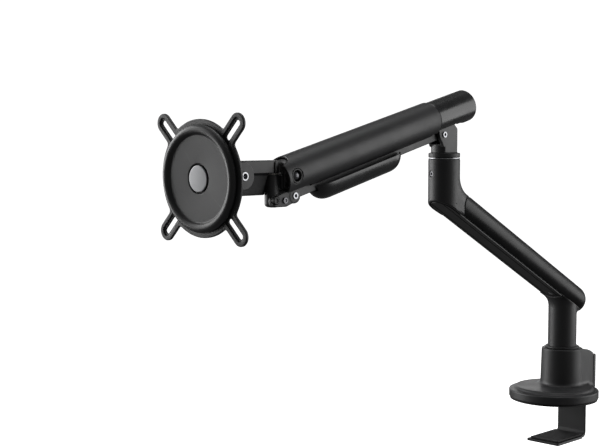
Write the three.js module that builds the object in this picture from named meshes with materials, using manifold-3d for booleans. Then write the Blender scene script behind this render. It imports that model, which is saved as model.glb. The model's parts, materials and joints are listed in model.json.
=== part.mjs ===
// Monitor arm with a desk clamp, built as separate pieces. Millimetres, +Z up.
// The post stands on the Z axis, the desk top is the plane z = 0, and the screen plate looks along -Y.
import * as THREE from 'three';
import { mergeVertices } from 'three/addons/utils/BufferGeometryUtils.js';
import Module from 'manifold-3d';

const wasm = await Module();
wasm.setup();

// ---- driving dimensions -------------------------------------------------------------------
const GAP = 0.3;                 // between pieces that touch on the real arm
const SWEEP = 2;                 // how far a cutting tool runs past the face that it cuts

// Sides on a full circle, from the widest pieces to the smallest.
const FINE = 48;
const ROUND = 32;
const SMALL = 20;
const TINY = 14;

const PAD_THICKNESS = 2;
const DISC_RADIUS = 54.8;
const DISC_CENTRE_Y = -17.4;
const DISC_WALL_TOP = 12;
const DISC_TOP = 16;
const DISC_TOP_RADIUS = 46;

const COLLAR_RADIUS = 25;
const COLLAR_FOOT_RADIUS = 26.4;
const COLLAR_TOP = 62;
const COLLAR_REAR_Y = 42;
const COVER_SPLIT_Y = 33.6;
const COVER_BOTTOM = 9;
const COVER_TOP = 51.5;
const COLLAR_BORE_RADIUS = 19.3;
const SHELF_TOP = 49.2;
const SHELF_BOTTOM = 46.4;

const CLAMP_FACE_Y = 23.4;       // desk side of the hanging plate
const SHEET = 3.2;
const CLAMP_HALF_WIDTH = 20;
const JAW_HALF_WIDTH = 23;
const JAW_TOP = -50;
const JAW_REACH = 67.8;
const CLAMP_PLATE_TOP = 17;
const SCREW_Y = 31;
const SCREW_RADIUS = 3.9;

const ARM_RADIUS = 17.5;         // post, diagonal and elbow barrel
const DIAGONAL_HEIGHT = 131.5;   // where the diagonal's axis crosses the post's
const DIAGONAL_ANGLE = THREE.MathUtils.degToRad(27.97);
const DIAGONAL_FLAT = 12.6;      // from the diagonal's axis to its flat underside
const ELBOW_Y = -241.3;
const ELBOW_TOP = 300.7;
const COVER_START = -250;
const COVER_END = 22.8;

const YOKE_FLANGE_BOTTOM = 302.4;
const YOKE_FLANGE_TOP = 307.5;
const YOKE_HALF_WIDTH = 10;
const LINK_SLOT = 6.2;           // half the gap between two cheeks
const PIN_ROOM = 11.8;           // half the width that the link pins' heads need
const COLUMN_TOP = 317;

const LIFT = { y: -258.8, z: 346.9 };      // the upper arm turns about this axis
const TUBE_ANGLE = THREE.MathUtils.degToRad(14.17);
const TUBE_PIVOTS = 238.7;                 // between the arm's two pivots
const LINK_OFFSET = { y: 5, z: -19.4 };    // from an arm pivot to the parallel link's pivot
const KNUCKLE = {
  y: LIFT.y - TUBE_PIVOTS * Math.cos(TUBE_ANGLE),
  z: LIFT.z - TUBE_PIVOTS * Math.sin(TUBE_ANGLE),
};
const LINK_REAR = { y: LIFT.y + LINK_OFFSET.y, z: LIFT.z + LINK_OFFSET.z };
const LINK_FRONT = { y: KNUCKLE.y + LINK_OFFSET.y, z: KNUCKLE.z + LINK_OFFSET.z };

const TUBE_RADIUS = 18.8;
const TUBE_BORE = 16.4;
const TUBE_FRONT = -250;
const SEAM = -12;
const NECK_ROOM = 12.5;          // half the width of the notch over the neck
const TAIL_RADIUS = 17.8;
const TAIL_END = 54;
const LINK_HALF_WIDTH = 5.5;
const LINK_HALF_HEIGHT = 4.5;

const SWIVEL_Y = -507.2;
const SWIVEL_RADIUS = 6.8;
const SWIVEL_TOP = 290;
const KNUCKLE_BOTTOM = 258.5;
const NECK_TOP = 304;
const NECK_HALF_WIDTH = 7;

const TILT = { y: -554.5, z: 289.4 };
const TILT_RADIUS = 13;
const PLATE_LEAN = THREE.MathUtils.degToRad(1.8);
const PLATE_BACK = -39.5;        // from the tilt axis, along the plate's own normal
const EAR_SHEET = 3;
const HUB_RADIUS = 16;
const PLATE_RADIUS = 54;
const EAR_CENTRE = 70.7;         // 100 mm square of screen holes
const EAR_RADIUS = 9.1;
const SLOT_INNER = 53;           // 75 mm square of screen holes
const SLOT_RADIUS = 2.6;
const DISH_RADIUS = 49.2;
const DISH_FLOOR_RADIUS = 40;
const BADGE_RADIUS = 12.3;

// ---- materials ----------------------------------------------------------------------------
function finish(color, roughness, metalness) {
  return new THREE.MeshStandardMaterial({ color, roughness, metalness });
}
const BLACK_PAINT = finish(0x232426, 0.45, 0.2);
const BLACK_PLASTIC = finish(0x1a1a1c, 0.55, 0);
const GLOSS_PLASTIC = finish(0x17181a, 0.3, 0);
const RUBBER = finish(0x111112, 0.9, 0);
const STEEL = finish(0xb9bcc0, 0.3, 1);
const DARK_STEEL = finish(0x3c3e42, 0.4, 1);
const ALUMINIUM = finish(0xc4c6c8, 0.35, 1);
const NYLON = finish(0x9a9a96, 0.6, 0);

// ---- solids -------------------------------------------------------------------------------
function toSolid(geometry) {
  const bare = geometry.clone();
  bare.deleteAttribute('normal');
  bare.deleteAttribute('uv');
  const merged = mergeVertices(bare, 1e-4);
  const corners = merged.index.array;
  const triangles = [];
  for (let i = 0; i < corners.length; i += 3) {
    const [a, b, c] = [corners[i], corners[i + 1], corners[i + 2]];
    if (a !== b && b !== c && c !== a) triangles.push(a, b, c);
  }
  return new wasm.Manifold(new wasm.Mesh({
    numProp: 3,
    vertProperties: new Float32Array(merged.attributes.position.array),
    triVerts: new Uint32Array(triangles),
  }));
}

function toGeometry(solid) {
  const mesh = solid.getMesh();
  const geometry = new THREE.BufferGeometry();
  geometry.setAttribute('position', new THREE.BufferAttribute(new Float32Array(mesh.vertProperties), 3));
  geometry.setIndex(new THREE.BufferAttribute(new Uint32Array(mesh.triVerts), 1));
  return geometry;
}

function join(first, ...others) {
  const solid = others.reduce((sum, other) => sum.add(toSolid(other)), toSolid(first));
  return toGeometry(solid);
}

function cut(body, ...tools) {
  const solid = tools.reduce((rest, tool) => rest.subtract(toSolid(tool)), toSolid(body));
  return toGeometry(solid);
}

function common(first, second) {
  return toGeometry(toSolid(first).intersect(toSolid(second)));
}

function block(x0, x1, y0, y1, z0, z1) {
  const box = new THREE.BoxGeometry(x1 - x0, y1 - y0, z1 - z0);
  return box.translate((x0 + x1) / 2, (y0 + y1) / 2, (z0 + z1) / 2);
}

// Cylinders along Z, X and Y.
function upright(radius, z0, z1, x = 0, y = 0, segments = ROUND) {
  const rod = new THREE.CylinderGeometry(radius, radius, z1 - z0, segments);
  return rod.rotateX(Math.PI / 2).translate(x, y, (z0 + z1) / 2);
}

function crosswise(radius, x0, x1, y, z, segments = SMALL) {
  const rod = new THREE.CylinderGeometry(radius, radius, x1 - x0, segments);
  return rod.rotateZ(Math.PI / 2).translate((x0 + x1) / 2, y, z);
}

function lengthwise(radius, y0, y1, x = 0, z = 0, segments = ROUND) {
  const rod = new THREE.CylinderGeometry(radius, radius, y1 - y0, segments);
  return rod.translate(x, (y0 + y1) / 2, z);
}

// A profile of [radius, height] points turned about Z.
function turned(points, segments = ROUND) {
  const profile = points.map(([radius, height]) => new THREE.Vector2(radius, height));
  return new THREE.LatheGeometry(profile, segments).rotateX(Math.PI / 2);
}

// A ring is a closed profile, so it has no face on the axis.
function ring(inner, outer, z0, z1, segments = ROUND) {
  return turned([[inner, z0], [outer, z0], [outer, z1], [inner, z1], [inner, z0]], segments);
}

const SIDE_VIEW = new THREE.Matrix4().makeBasis(
  new THREE.Vector3(0, 1, 0), new THREE.Vector3(0, 0, 1), new THREE.Vector3(1, 0, 0));
const FRONT_VIEW = new THREE.Matrix4().makeBasis(
  new THREE.Vector3(1, 0, 0), new THREE.Vector3(0, 0, 1), new THREE.Vector3(0, -1, 0));

function extrude(shape, depth, curveSegments = 12) {
  return new THREE.ExtrudeGeometry(shape, { depth, bevelEnabled: false, curveSegments });
}

// A [y, z] outline pushed along X, and an (x, z) shape pushed along -Y from y0.
function sideProfile(points, x0, x1) {
  const shape = new THREE.Shape(points.map(([y, z]) => new THREE.Vector2(y, z)));
  return extrude(shape, x1 - x0).applyMatrix4(SIDE_VIEW).translate(x0, 0, 0);
}

function frontProfile(shape, y0, depth, curveSegments) {
  return extrude(shape, depth, curveSegments).applyMatrix4(FRONT_VIEW).translate(0, y0, 0);
}

function capsule(radius, from, to) {
  const shape = new THREE.Shape();
  shape.absarc(to, 0, radius, -Math.PI / 2, Math.PI / 2, false);
  shape.absarc(from, 0, radius, Math.PI / 2, Math.PI * 1.5, false);
  return shape;
}

// ---- assembly groups ----------------------------------------------------------------------
const arm = new THREE.Group();
const diagonal = new THREE.Group();
diagonal.position.set(0, 0, DIAGONAL_HEIGHT);
diagonal.rotation.x = -DIAGONAL_ANGLE;
const upperArm = new THREE.Group();
upperArm.position.set(0, LIFT.y, LIFT.z);
upperArm.rotation.x = TUBE_ANGLE;
const screenEnd = new THREE.Group();
screenEnd.position.set(0, TILT.y, TILT.z);
screenEnd.rotation.x = PLATE_LEAN;
arm.add(diagonal, upperArm, screenEnd);

function add(group, name, geometry, material) {
  const mesh = new THREE.Mesh(geometry, material);
  mesh.name = name;
  group.add(mesh);
}

function onDiagonal(geometry) {
  return geometry.rotateX(-DIAGONAL_ANGLE).translate(0, 0, DIAGONAL_HEIGHT);
}

// ---- base ---------------------------------------------------------------------------------
function baseCasting() {
  const puck = turned([
    [0, PAD_THICKNESS], [DISC_RADIUS - 1, PAD_THICKNESS], [DISC_RADIUS, PAD_THICKNESS + 1],
    [DISC_RADIUS, DISC_WALL_TOP - 1.5], [DISC_RADIUS - 2, DISC_WALL_TOP],
    [DISC_TOP_RADIUS + 2, DISC_TOP - 1.2], [DISC_TOP_RADIUS, DISC_TOP], [0, DISC_TOP],
  ], FINE).translate(0, DISC_CENTRE_Y, 0);
  const tower = turned([
    [0, PAD_THICKNESS + 1], [COLLAR_FOOT_RADIUS, PAD_THICKNESS + 1], [COLLAR_FOOT_RADIUS + 4, DISC_TOP],
    [COLLAR_FOOT_RADIUS + 1, DISC_TOP + 1.4], [COLLAR_FOOT_RADIUS, DISC_TOP + 5],
    [COLLAR_RADIUS, COLLAR_TOP - 2.5], [COLLAR_RADIUS - 0.8, COLLAR_TOP - 0.8],
    [COLLAR_RADIUS - 2.5, COLLAR_TOP], [0, COLLAR_TOP],
  ], FINE);
  const back = sideProfile([
    [0, PAD_THICKNESS + 1], [COVER_SPLIT_Y - GAP, PAD_THICKNESS + 1],
    [COVER_SPLIT_Y - GAP, COLLAR_TOP - 7.5], [25, COLLAR_TOP - 3.2], [8, COLLAR_TOP], [0, COLLAR_TOP],
  ], -COLLAR_RADIUS, COLLAR_RADIUS);
  const coverRoom = block(-40, 40, COVER_SPLIT_Y - GAP, 60, COVER_BOTTOM - GAP, COLLAR_TOP + SWEEP);
  const bore = upright(COLLAR_BORE_RADIUS, 12, COLLAR_TOP + SWEEP);
  const plateSlot = block(-CLAMP_HALF_WIDTH - 0.6, CLAMP_HALF_WIDTH + 0.6,
    CLAMP_FACE_Y - 0.4, CLAMP_FACE_Y + SHEET + 0.4, -SWEEP, SHELF_BOTTOM);
  const nutRoom = block(-9, 9, CLAMP_FACE_Y + SHEET, 35.7, -SWEEP, SHELF_BOTTOM);
  const screwHole = upright(SCREW_RADIUS + 0.3, SHELF_BOTTOM - SWEEP, COLLAR_TOP + SWEEP, 0, SCREW_Y, SMALL);
  const headRoom = upright(7, SHELF_TOP, COLLAR_TOP + SWEEP, 0, SCREW_Y, SMALL);
  return cut(cut(join(puck, tower, back), coverRoom), bore, plateSlot, nutRoom, screwHole, headRoom);
}

function basePad() {
  const pad = upright(DISC_RADIUS - 1.3, 0, PAD_THICKNESS - GAP, 0, DISC_CENTRE_Y, FINE);
  return cut(pad, block(-60, 60, CLAMP_FACE_Y - 0.8, 60, -SWEEP, SWEEP * 2));
}

function rearCover() {
  const shell = block(-COLLAR_RADIUS, COLLAR_RADIUS, COVER_SPLIT_Y, COLLAR_REAR_Y, COVER_BOTTOM, COVER_TOP);
  const inside = block(-21, 21, COVER_SPLIT_Y - SWEEP, COLLAR_REAR_Y - 2.5, COVER_BOTTOM + 2.5, SHELF_BOTTOM);
  const headRoom = upright(7, COVER_BOTTOM + 4, COVER_TOP + SWEEP, 0, SCREW_Y, SMALL);
  const nutRoom = block(-9, 9, COVER_SPLIT_Y - SWEEP, SCREW_Y + 5, COVER_BOTTOM - SWEEP, COVER_BOTTOM + 4);
  return cut(shell, inside, headRoom, nutRoom);
}

add(arm, 'base_casting', baseCasting(), BLACK_PAINT);
add(arm, 'base_pad', basePad(), RUBBER);
add(arm, 'rear_cover', rearCover(), BLACK_PLASTIC);
add(arm, 'collar_bush', turned([
  [17.8, 44], [19, 44], [19, COLLAR_TOP + GAP], [21, COLLAR_TOP + GAP], [21, COLLAR_TOP + 2],
  [20.4, COLLAR_TOP + 2.6], [17.8, COLLAR_TOP + 2.6], [17.8, 44],
]), BLACK_PLASTIC);
add(arm, 'lower_bush', ring(17.8, 19, 16, 28), NYLON);
add(arm, 'thrust_washer', ring(9, 18.8, 12 + GAP, 14), NYLON);

// ---- desk clamp ---------------------------------------------------------------------------
function clampBracket() {
  const rear = CLAMP_FACE_Y + SHEET;
  const corner = 4;
  const plate = block(-CLAMP_HALF_WIDTH, CLAMP_HALF_WIDTH, CLAMP_FACE_Y, rear,
    JAW_TOP - SHEET + corner, CLAMP_PLATE_TOP);
  const bend = cut(crosswise(corner + SHEET - 1, -CLAMP_HALF_WIDTH, CLAMP_HALF_WIDTH,
    rear - corner - SHEET + 1, JAW_TOP + corner - 1, SMALL),
  crosswise(corner - 1, -CLAMP_HALF_WIDTH - 1, CLAMP_HALF_WIDTH + 1, rear - corner - SHEET + 1,
    JAW_TOP + corner - 1, SMALL));
  const corners = new THREE.Shape();
  const front = rear - JAW_REACH;
  const round = 2.2;
  const flare = rear - corner - 2;
  corners.moveTo(-CLAMP_HALF_WIDTH, flare);
  corners.lineTo(-JAW_HALF_WIDTH, flare - 5);
  corners.lineTo(-JAW_HALF_WIDTH, front + round);
  corners.absarc(-JAW_HALF_WIDTH + round, front + round, round, Math.PI, Math.PI * 1.5, false);
  corners.absarc(JAW_HALF_WIDTH - round, front + round, round, -Math.PI / 2, 0, false);
  corners.lineTo(JAW_HALF_WIDTH, flare - 5);
  corners.lineTo(CLAMP_HALF_WIDTH, flare);
  const jaw = extrude(corners, SHEET, 8).translate(0, 0, JAW_TOP - SHEET);
  const quarter = block(-40, 40, rear - corner - SHEET + 1, rear + 1, JAW_TOP - 8, JAW_TOP + corner - 1);
  return join(plate, jaw, common(bend, quarter));
}

function jawPad() {
  const front = CLAMP_FACE_Y + SHEET - JAW_REACH;
  return block(-JAW_HALF_WIDTH + 3, JAW_HALF_WIDTH - 3, front + 3.2, CLAMP_FACE_Y - 5,
    JAW_TOP + GAP, JAW_TOP + 2);
}

function clampScrew() {
  const hexSocket = upright(3.4, SHELF_TOP + 3, SHELF_TOP + 7, 0, SCREW_Y, 6);
  const head = upright(6.5, SHELF_TOP + GAP, SHELF_TOP + 5.5, 0, SCREW_Y, SMALL);
  const shank = upright(SCREW_RADIUS, 3, SHELF_TOP + 1, 0, SCREW_Y, SMALL);
  return cut(join(shank, head), hexSocket);
}

add(arm, 'clamp_bracket', clampBracket(), BLACK_PAINT);
add(arm, 'clamp_nut', cut(
  block(-8, 8, CLAMP_FACE_Y + SHEET + GAP, SCREW_Y + 4.4, 8, 16),
  upright(SCREW_RADIUS + 0.1, 6, 18, 0, SCREW_Y, SMALL)), STEEL);
add(arm, 'jaw_pad', jawPad(), RUBBER);
add(arm, 'clamp_screw', clampScrew(), STEEL);

// ---- lower arm ----------------------------------------------------------------------------
// The diagonal's section: a round top on a flat underside, pushed along its local Y.
function diagonalBar(radius, flat, y0, y1) {
  const bar = lengthwise(radius, y0, y1, 0, 0, ROUND);
  const flanks = block(-radius + 0.01, radius - 0.01, y0, y1, -flat + 3, 0);
  const foot = block(-radius + 3, radius - 3, y0, y1, -flat, 0);
  const under = block(-40, 40, y0 - 1, y1 + 1, -40, -flat);
  return cut(join(bar, flanks, foot), under);
}

function coverEnvelope(grow) {
  const radius = ARM_RADIUS + grow;
  const flat = DIAGONAL_FLAT - 1 + grow;
  const bar = diagonalBar(radius, flat, COVER_START - grow, COVER_END);
  const nose = new THREE.SphereGeometry(radius, ROUND, SMALL).rotateX(Math.PI / 2).translate(0, COVER_END, 0);
  const under = block(-40, 40, COVER_END - 40, COVER_END + 40, -40, -flat);
  return join(bar, cut(nose, under));
}

const CORE_HALF_WIDTH = 13.4;
const CORE_TOP = 5.5;

function lowerArmCasting() {
  const post = upright(ARM_RADIUS, 16 + GAP, DIAGONAL_HEIGHT);
  const core = onDiagonal(block(-CORE_HALF_WIDTH, CORE_HALF_WIDTH, COVER_START - 6, 14,
    -DIAGONAL_FLAT, CORE_TOP));
  const head = onDiagonal(diagonalBar(ARM_RADIUS, DIAGONAL_FLAT, -272, COVER_START - GAP));
  const barrel = upright(ARM_RADIUS, 230, ELBOW_TOP, 0, ELBOW_Y);
  const belowBarrel = onDiagonal(block(-60, 60, -330, -200, -90, -DIAGONAL_FLAT));
  const skin = cut(join(post, cut(join(head, barrel), belowBarrel)), onDiagonal(coverEnvelope(GAP)));
  const elbowBore = upright(12.3, 262, ELBOW_TOP + SWEEP, 0, ELBOW_Y);
  const tray = onDiagonal(block(-12.9, 12.9, -266, -17, -DIAGONAL_FLAT - SWEEP, -DIAGONAL_FLAT + 1.9));
  const screwTurn = THREE.MathUtils.degToRad(-18);
  const setScrewHole = new THREE.CylinderGeometry(3.3, 3.3, 12, TINY)
    .translate(0, -14, 0).rotateZ(screwTurn).translate(0, ELBOW_Y, 284.5);
  return cut(join(skin, core), elbowBore, tray, setScrewHole);
}

function cableCover() {
  const inner = block(-CORE_HALF_WIDTH - GAP, CORE_HALF_WIDTH + GAP, COVER_START - SWEEP, 14 + GAP,
    -40, CORE_TOP + GAP);
  const channel = block(-10.5, 10.5, COVER_START - SWEEP, 10, CORE_TOP, CORE_TOP + 8);
  const post = upright(ARM_RADIUS + GAP, -60, -DIAGONAL_FLAT + 1).rotateX(DIAGONAL_ANGLE);
  return cut(coverEnvelope(0), inner, channel, post);
}

function undersideCover() {
  const strip = block(-12.6, 12.6, -265.7, -17.3, -DIAGONAL_FLAT - 0.4, -DIAGONAL_FLAT + 1.6);
  const screwHole = upright(2.9, -DIAGONAL_FLAT - SWEEP, -DIAGONAL_FLAT + SWEEP, 0, -24, TINY);
  return cut(strip, screwHole);
}

add(arm, 'lower_arm_casting', lowerArmCasting(), BLACK_PAINT);
add(diagonal, 'cable_cover', cableCover(), BLACK_PLASTIC);
add(diagonal, 'underside_cover', undersideCover(), BLACK_PLASTIC);
add(diagonal, 'underside_screw',
  upright(2.6, -DIAGONAL_FLAT - 0.2, -DIAGONAL_FLAT + 1.5, 0, -24, TINY), STEEL);
add(arm, 'elbow_set_screw', cut(
  new THREE.CylinderGeometry(3, 3, 4, TINY).translate(0, -14.4, 0),
  new THREE.CylinderGeometry(1.4, 1.4, 4, 6).translate(0, -17, 0),
).rotateZ(THREE.MathUtils.degToRad(-18)).translate(0, ELBOW_Y, 284.5), STEEL);
add(arm, 'elbow_bush_upper', ring(9.3, 12, 288, ELBOW_TOP - 1).translate(0, ELBOW_Y, 0), NYLON);
add(arm, 'elbow_bush_lower', ring(9.3, 12, 266, 276).translate(0, ELBOW_Y, 0), NYLON);
add(arm, 'elbow_washer', ring(9.3, 17.3, ELBOW_TOP + 0.2, ELBOW_TOP + 1.2).translate(0, ELBOW_Y, 0), STEEL);

// ---- yoke ---------------------------------------------------------------------------------
function yokeCasting() {
  const rearFace = ELBOW_Y + 10.9;
  const flange = turned([
    [0, YOKE_FLANGE_BOTTOM], [16.9, YOKE_FLANGE_BOTTOM], [17.4, YOKE_FLANGE_BOTTOM + 0.8],
    [17.4, YOKE_FLANGE_TOP - 1.2], [16.4, YOKE_FLANGE_TOP], [0, YOKE_FLANGE_TOP],
  ]).translate(0, ELBOW_Y, 0);
  const spigot = upright(9, 268, YOKE_FLANGE_BOTTOM + 1, 0, ELBOW_Y);
  const round = upright(15, YOKE_FLANGE_TOP - 1, COLUMN_TOP, 0, ELBOW_Y);
  const column = common(round, block(-YOKE_HALF_WIDTH, YOKE_HALF_WIDTH, ELBOW_Y - 20, rearFace, 300, 330));
  const ears = join(
    sideProfile([[-255, COLUMN_TOP - 1], [rearFace, COLUMN_TOP - 1], [rearFace, 334], [-250.5, 352.4],
      [-268.4, 345], [LINK_REAR.y - 8, LINK_REAR.z]], -YOKE_HALF_WIDTH, YOKE_HALF_WIDTH),
    crosswise(10, -YOKE_HALF_WIDTH, YOKE_HALF_WIDTH, LIFT.y, LIFT.z, ROUND),
    crosswise(8, -YOKE_HALF_WIDTH, YOKE_HALF_WIDTH, LINK_REAR.y, LINK_REAR.z, ROUND));
  const slot = block(-LINK_SLOT, LINK_SLOT, -280, -238, COLUMN_TOP, 370);
  const liftBore = crosswise(3.8, -20, 20, LIFT.y, LIFT.z);
  const linkBore = crosswise(2.9, -20, 20, LINK_REAR.y, LINK_REAR.z);
  const rollerBore = crosswise(1.6, -8.5, 8.5, LIFT.y, LIFT.z - ROLLER_DROP);
  const screwBore = upright(2.6, 260, 282, 0, ELBOW_Y, TINY);
  return cut(join(flange, spigot, column, ears), slot, liftBore, linkBore, rollerBore, screwBore);
}

function ringHeadPin(at) {
  const shank = crosswise(2.8, -YOKE_HALF_WIDTH - 0.8, YOKE_HALF_WIDTH + 0.8, at.y, at.z, SMALL);
  const nearHead = crosswise(4.2, YOKE_HALF_WIDTH + 0.2, YOKE_HALF_WIDTH + 1.2, at.y, at.z, SMALL);
  const farHead = crosswise(4.2, -YOKE_HALF_WIDTH - 1.2, -YOKE_HALF_WIDTH - 0.2, at.y, at.z, SMALL);
  const nearHollow = crosswise(1.7, YOKE_HALF_WIDTH - 1, YOKE_HALF_WIDTH + 2, at.y, at.z, TINY);
  const farHollow = crosswise(1.7, -YOKE_HALF_WIDTH - 2, -YOKE_HALF_WIDTH + 1, at.y, at.z, TINY);
  return cut(join(shank, nearHead, farHead), nearHollow, farHollow);
}

const ROLLER_DROP = 7.5;
const ROLLER_RADIUS = 2.5;
add(arm, 'yoke_casting', yokeCasting(), BLACK_PAINT);
add(arm, 'elbow_retainer', cut(upright(11.6, 264, 265.8, 0, ELBOW_Y), upright(2.7, 262, 268, 0, ELBOW_Y)), STEEL);
add(arm, 'elbow_retainer_screw', join(
  upright(4.5, 262.3, 263.7, 0, ELBOW_Y, TINY), upright(2.4, 263, 280, 0, ELBOW_Y, TINY)), STEEL);
add(arm, 'spring_roller', join(
  crosswise(ROLLER_RADIUS, -5.8, 5.8, LIFT.y, LIFT.z - ROLLER_DROP, TINY),
  crosswise(1.5, -8.3, 8.3, LIFT.y, LIFT.z - ROLLER_DROP, TINY)), STEEL);
add(arm, 'link_rear_pin', ringHeadPin(LINK_REAR), STEEL);

// ---- upper arm, in the tube's own axes: local Y runs back along the tube from the lift axis -
function upperTube() {
  const pipe = cut(lengthwise(TUBE_RADIUS, TUBE_FRONT, SEAM - GAP, 0, 0, FINE),
    lengthwise(TUBE_BORE, TUBE_FRONT - SWEEP, SEAM + SWEEP, 0, 0, FINE));
  const linkSlot = block(-LINK_SLOT - 0.6, LINK_SLOT + 0.6, TUBE_FRONT - SWEEP, SEAM + SWEEP, -30, -8);
  const yokeNotch = block(-YOKE_HALF_WIDTH - 0.6, YOKE_HALF_WIDTH + 0.6, -20, SEAM + SWEEP, -30, -6);
  const knuckleNotch = block(-PIN_ROOM, PIN_ROOM, TUBE_FRONT - SWEEP, -214, -30, -6);
  const topNotch = join(block(-NECK_ROOM, NECK_ROOM, TUBE_FRONT - SWEEP, -248, 8, 30),
    upright(NECK_ROOM, 8, 30, 0, -248, ROUND));
  const pivotHole = crosswise(7.3, -30, 30, -TUBE_PIVOTS, 0, ROUND);
  return cut(pipe, linkSlot, yokeNotch, knuckleNotch, topNotch, pivotHole);
}

function tailHousing() {
  const outer = new THREE.LatheGeometry([
    [0, SEAM], [TAIL_RADIUS, SEAM], [TAIL_RADIUS, TAIL_END - 2], [TAIL_RADIUS - 0.6, TAIL_END - 0.6],
    [TAIL_RADIUS - 2, TAIL_END], [0, TAIL_END],
  ].map(([radius, y]) => new THREE.Vector2(radius, y)), FINE);
  const slot = block(-YOKE_HALF_WIDTH - 0.4, YOKE_HALF_WIDTH + 0.4, SEAM - SWEEP, 43, -30, 12);
  const pinRoom = block(-PIN_ROOM, PIN_ROOM, SEAM - SWEEP, 22, -30, -9);
  const pinBore = crosswise(3.7, -15.3, 15.3, 0, 0);
  return cut(outer, slot, pinRoom, pinBore);
}

function cableTrough() {
  const depth = 18.6;
  const halfWidth = 15;
  const top = -18;
  function boat(shrink) {
    const long = new THREE.CylinderGeometry(1, 1, 90, ROUND).scale(halfWidth - shrink, 1, depth - shrink)
      .translate(0, -138, top);
    const backEnd = new THREE.SphereGeometry(1, ROUND, SMALL)
      .scale(halfWidth - shrink, 21 - shrink, depth - shrink).translate(0, -93.1, top);
    const frontEnd = new THREE.SphereGeometry(1, ROUND, SMALL)
      .scale(halfWidth - shrink, 24 - shrink, depth - shrink).translate(0, -182.9, top);
    return join(long, backEnd, frontEnd);
  }
  const aboveTrough = block(-40, 40, -260, 0, -19.6, 40);
  const tongue = block(-8.2, 8.2, -222, -190, -27, -25.4);
  const linkRoom = [[-235, -190], [-115, -60]].map(([y0, y1]) => block(-7, 7, y0, y1, -25.2, 0));
  return cut(join(cut(cut(boat(0), aboveTrough), boat(1.8)), tongue), ...linkRoom);
}

add(upperArm, 'upper_tube', upperTube(), BLACK_PAINT);
add(upperArm, 'tail_housing', tailHousing(), GLOSS_PLASTIC);
add(upperArm, 'lift_pin', crosswise(3.6, -15, 15, 0, 0), STEEL);
add(upperArm, 'cable_trough', cableTrough(), GLOSS_PLASTIC);
add(upperArm, 'tension_block', cut(
  lengthwise(TUBE_BORE - GAP, -213, -203, 0, 0, ROUND),
  lengthwise(3.3, -220, -200, 0, 2, TINY),
  block(-8, 8, -220, -200, -20, -9.2)), DARK_STEEL);
add(upperArm, 'tension_screw', cut(
  join(lengthwise(3.1, -219, -202.5, 0, 2, TINY), lengthwise(5, -222, -218, 0, 2, TINY)),
  lengthwise(2.3, -224, -220, 0, 2, 6)), STEEL);
add(upperArm, 'gas_spring_cylinder', cut(
  lengthwise(10, -202, -96, 0, 2, ROUND),
  lengthwise(4.2, -120, -94, 0, 2, TINY)), DARK_STEEL);
for (const side of [-1, 1]) {
  const name = side > 0 ? 'pivot_bush_near' : 'pivot_bush_far';
  const bush = cut(crosswise(7, side > 0 ? 14.4 : -18.2, side > 0 ? 18.2 : -14.4, -TUBE_PIVOTS, 0, ROUND),
    crosswise(5.5, -20, 20, -TUBE_PIVOTS, 0, ROUND));
  add(upperArm, name, bush, BLACK_PLASTIC);
}

function domedPin() {
  const dome = new THREE.SphereGeometry(6.2, ROUND, SMALL);
  const head = common(dome, crosswise(5.2, 1.6, 9, 0, 0, SMALL)).translate(12.1, 0, 0);
  const otherHead = head.clone().rotateZ(Math.PI);
  return join(crosswise(4, -14.6, 14.6, 0, 0, SMALL), head, otherHead).translate(0, -TUBE_PIVOTS, 0);
}
add(upperArm, 'front_pivot_pin', domedPin(), STEEL);

// The spring's rod and the foot that bears on the yoke's roller slide along the tube.
const FOOT_FACE = -ROLLER_DROP * Math.sin(TUBE_ANGLE) - ROLLER_RADIUS - GAP;
add(upperArm, 'gas_spring_rod', lengthwise(4, -116, -62.3, 0, 2, TINY), STEEL);
add(upperArm, 'push_foot', join(
  lengthwise(10, -62, -57, 0, 0, SMALL),
  block(-5.2, 5.2, -58, FOOT_FACE, -9.4, -5)), DARK_STEEL);

// ---- parallel link ------------------------------------------------------------------------
function parallelLink() {
  const bar = block(-LINK_HALF_WIDTH, LINK_HALF_WIDTH, -TUBE_PIVOTS, 0, -LINK_HALF_HEIGHT, LINK_HALF_HEIGHT);
  const ends = [-TUBE_PIVOTS, 0].map((y) => crosswise(5.5, -LINK_HALF_WIDTH, LINK_HALF_WIDTH, y, 0, SMALL));
  const bores = [-TUBE_PIVOTS, 0].map((y) => crosswise(3, -10, 10, y, 0, SMALL));
  return cut(join(bar, ...ends), ...bores);
}
const linkGroup = new THREE.Group();
linkGroup.position.set(0, LINK_REAR.y, LINK_REAR.z);
linkGroup.rotation.x = TUBE_ANGLE;
arm.add(linkGroup);
add(linkGroup, 'parallel_link', parallelLink(), BLACK_PAINT);

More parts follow.
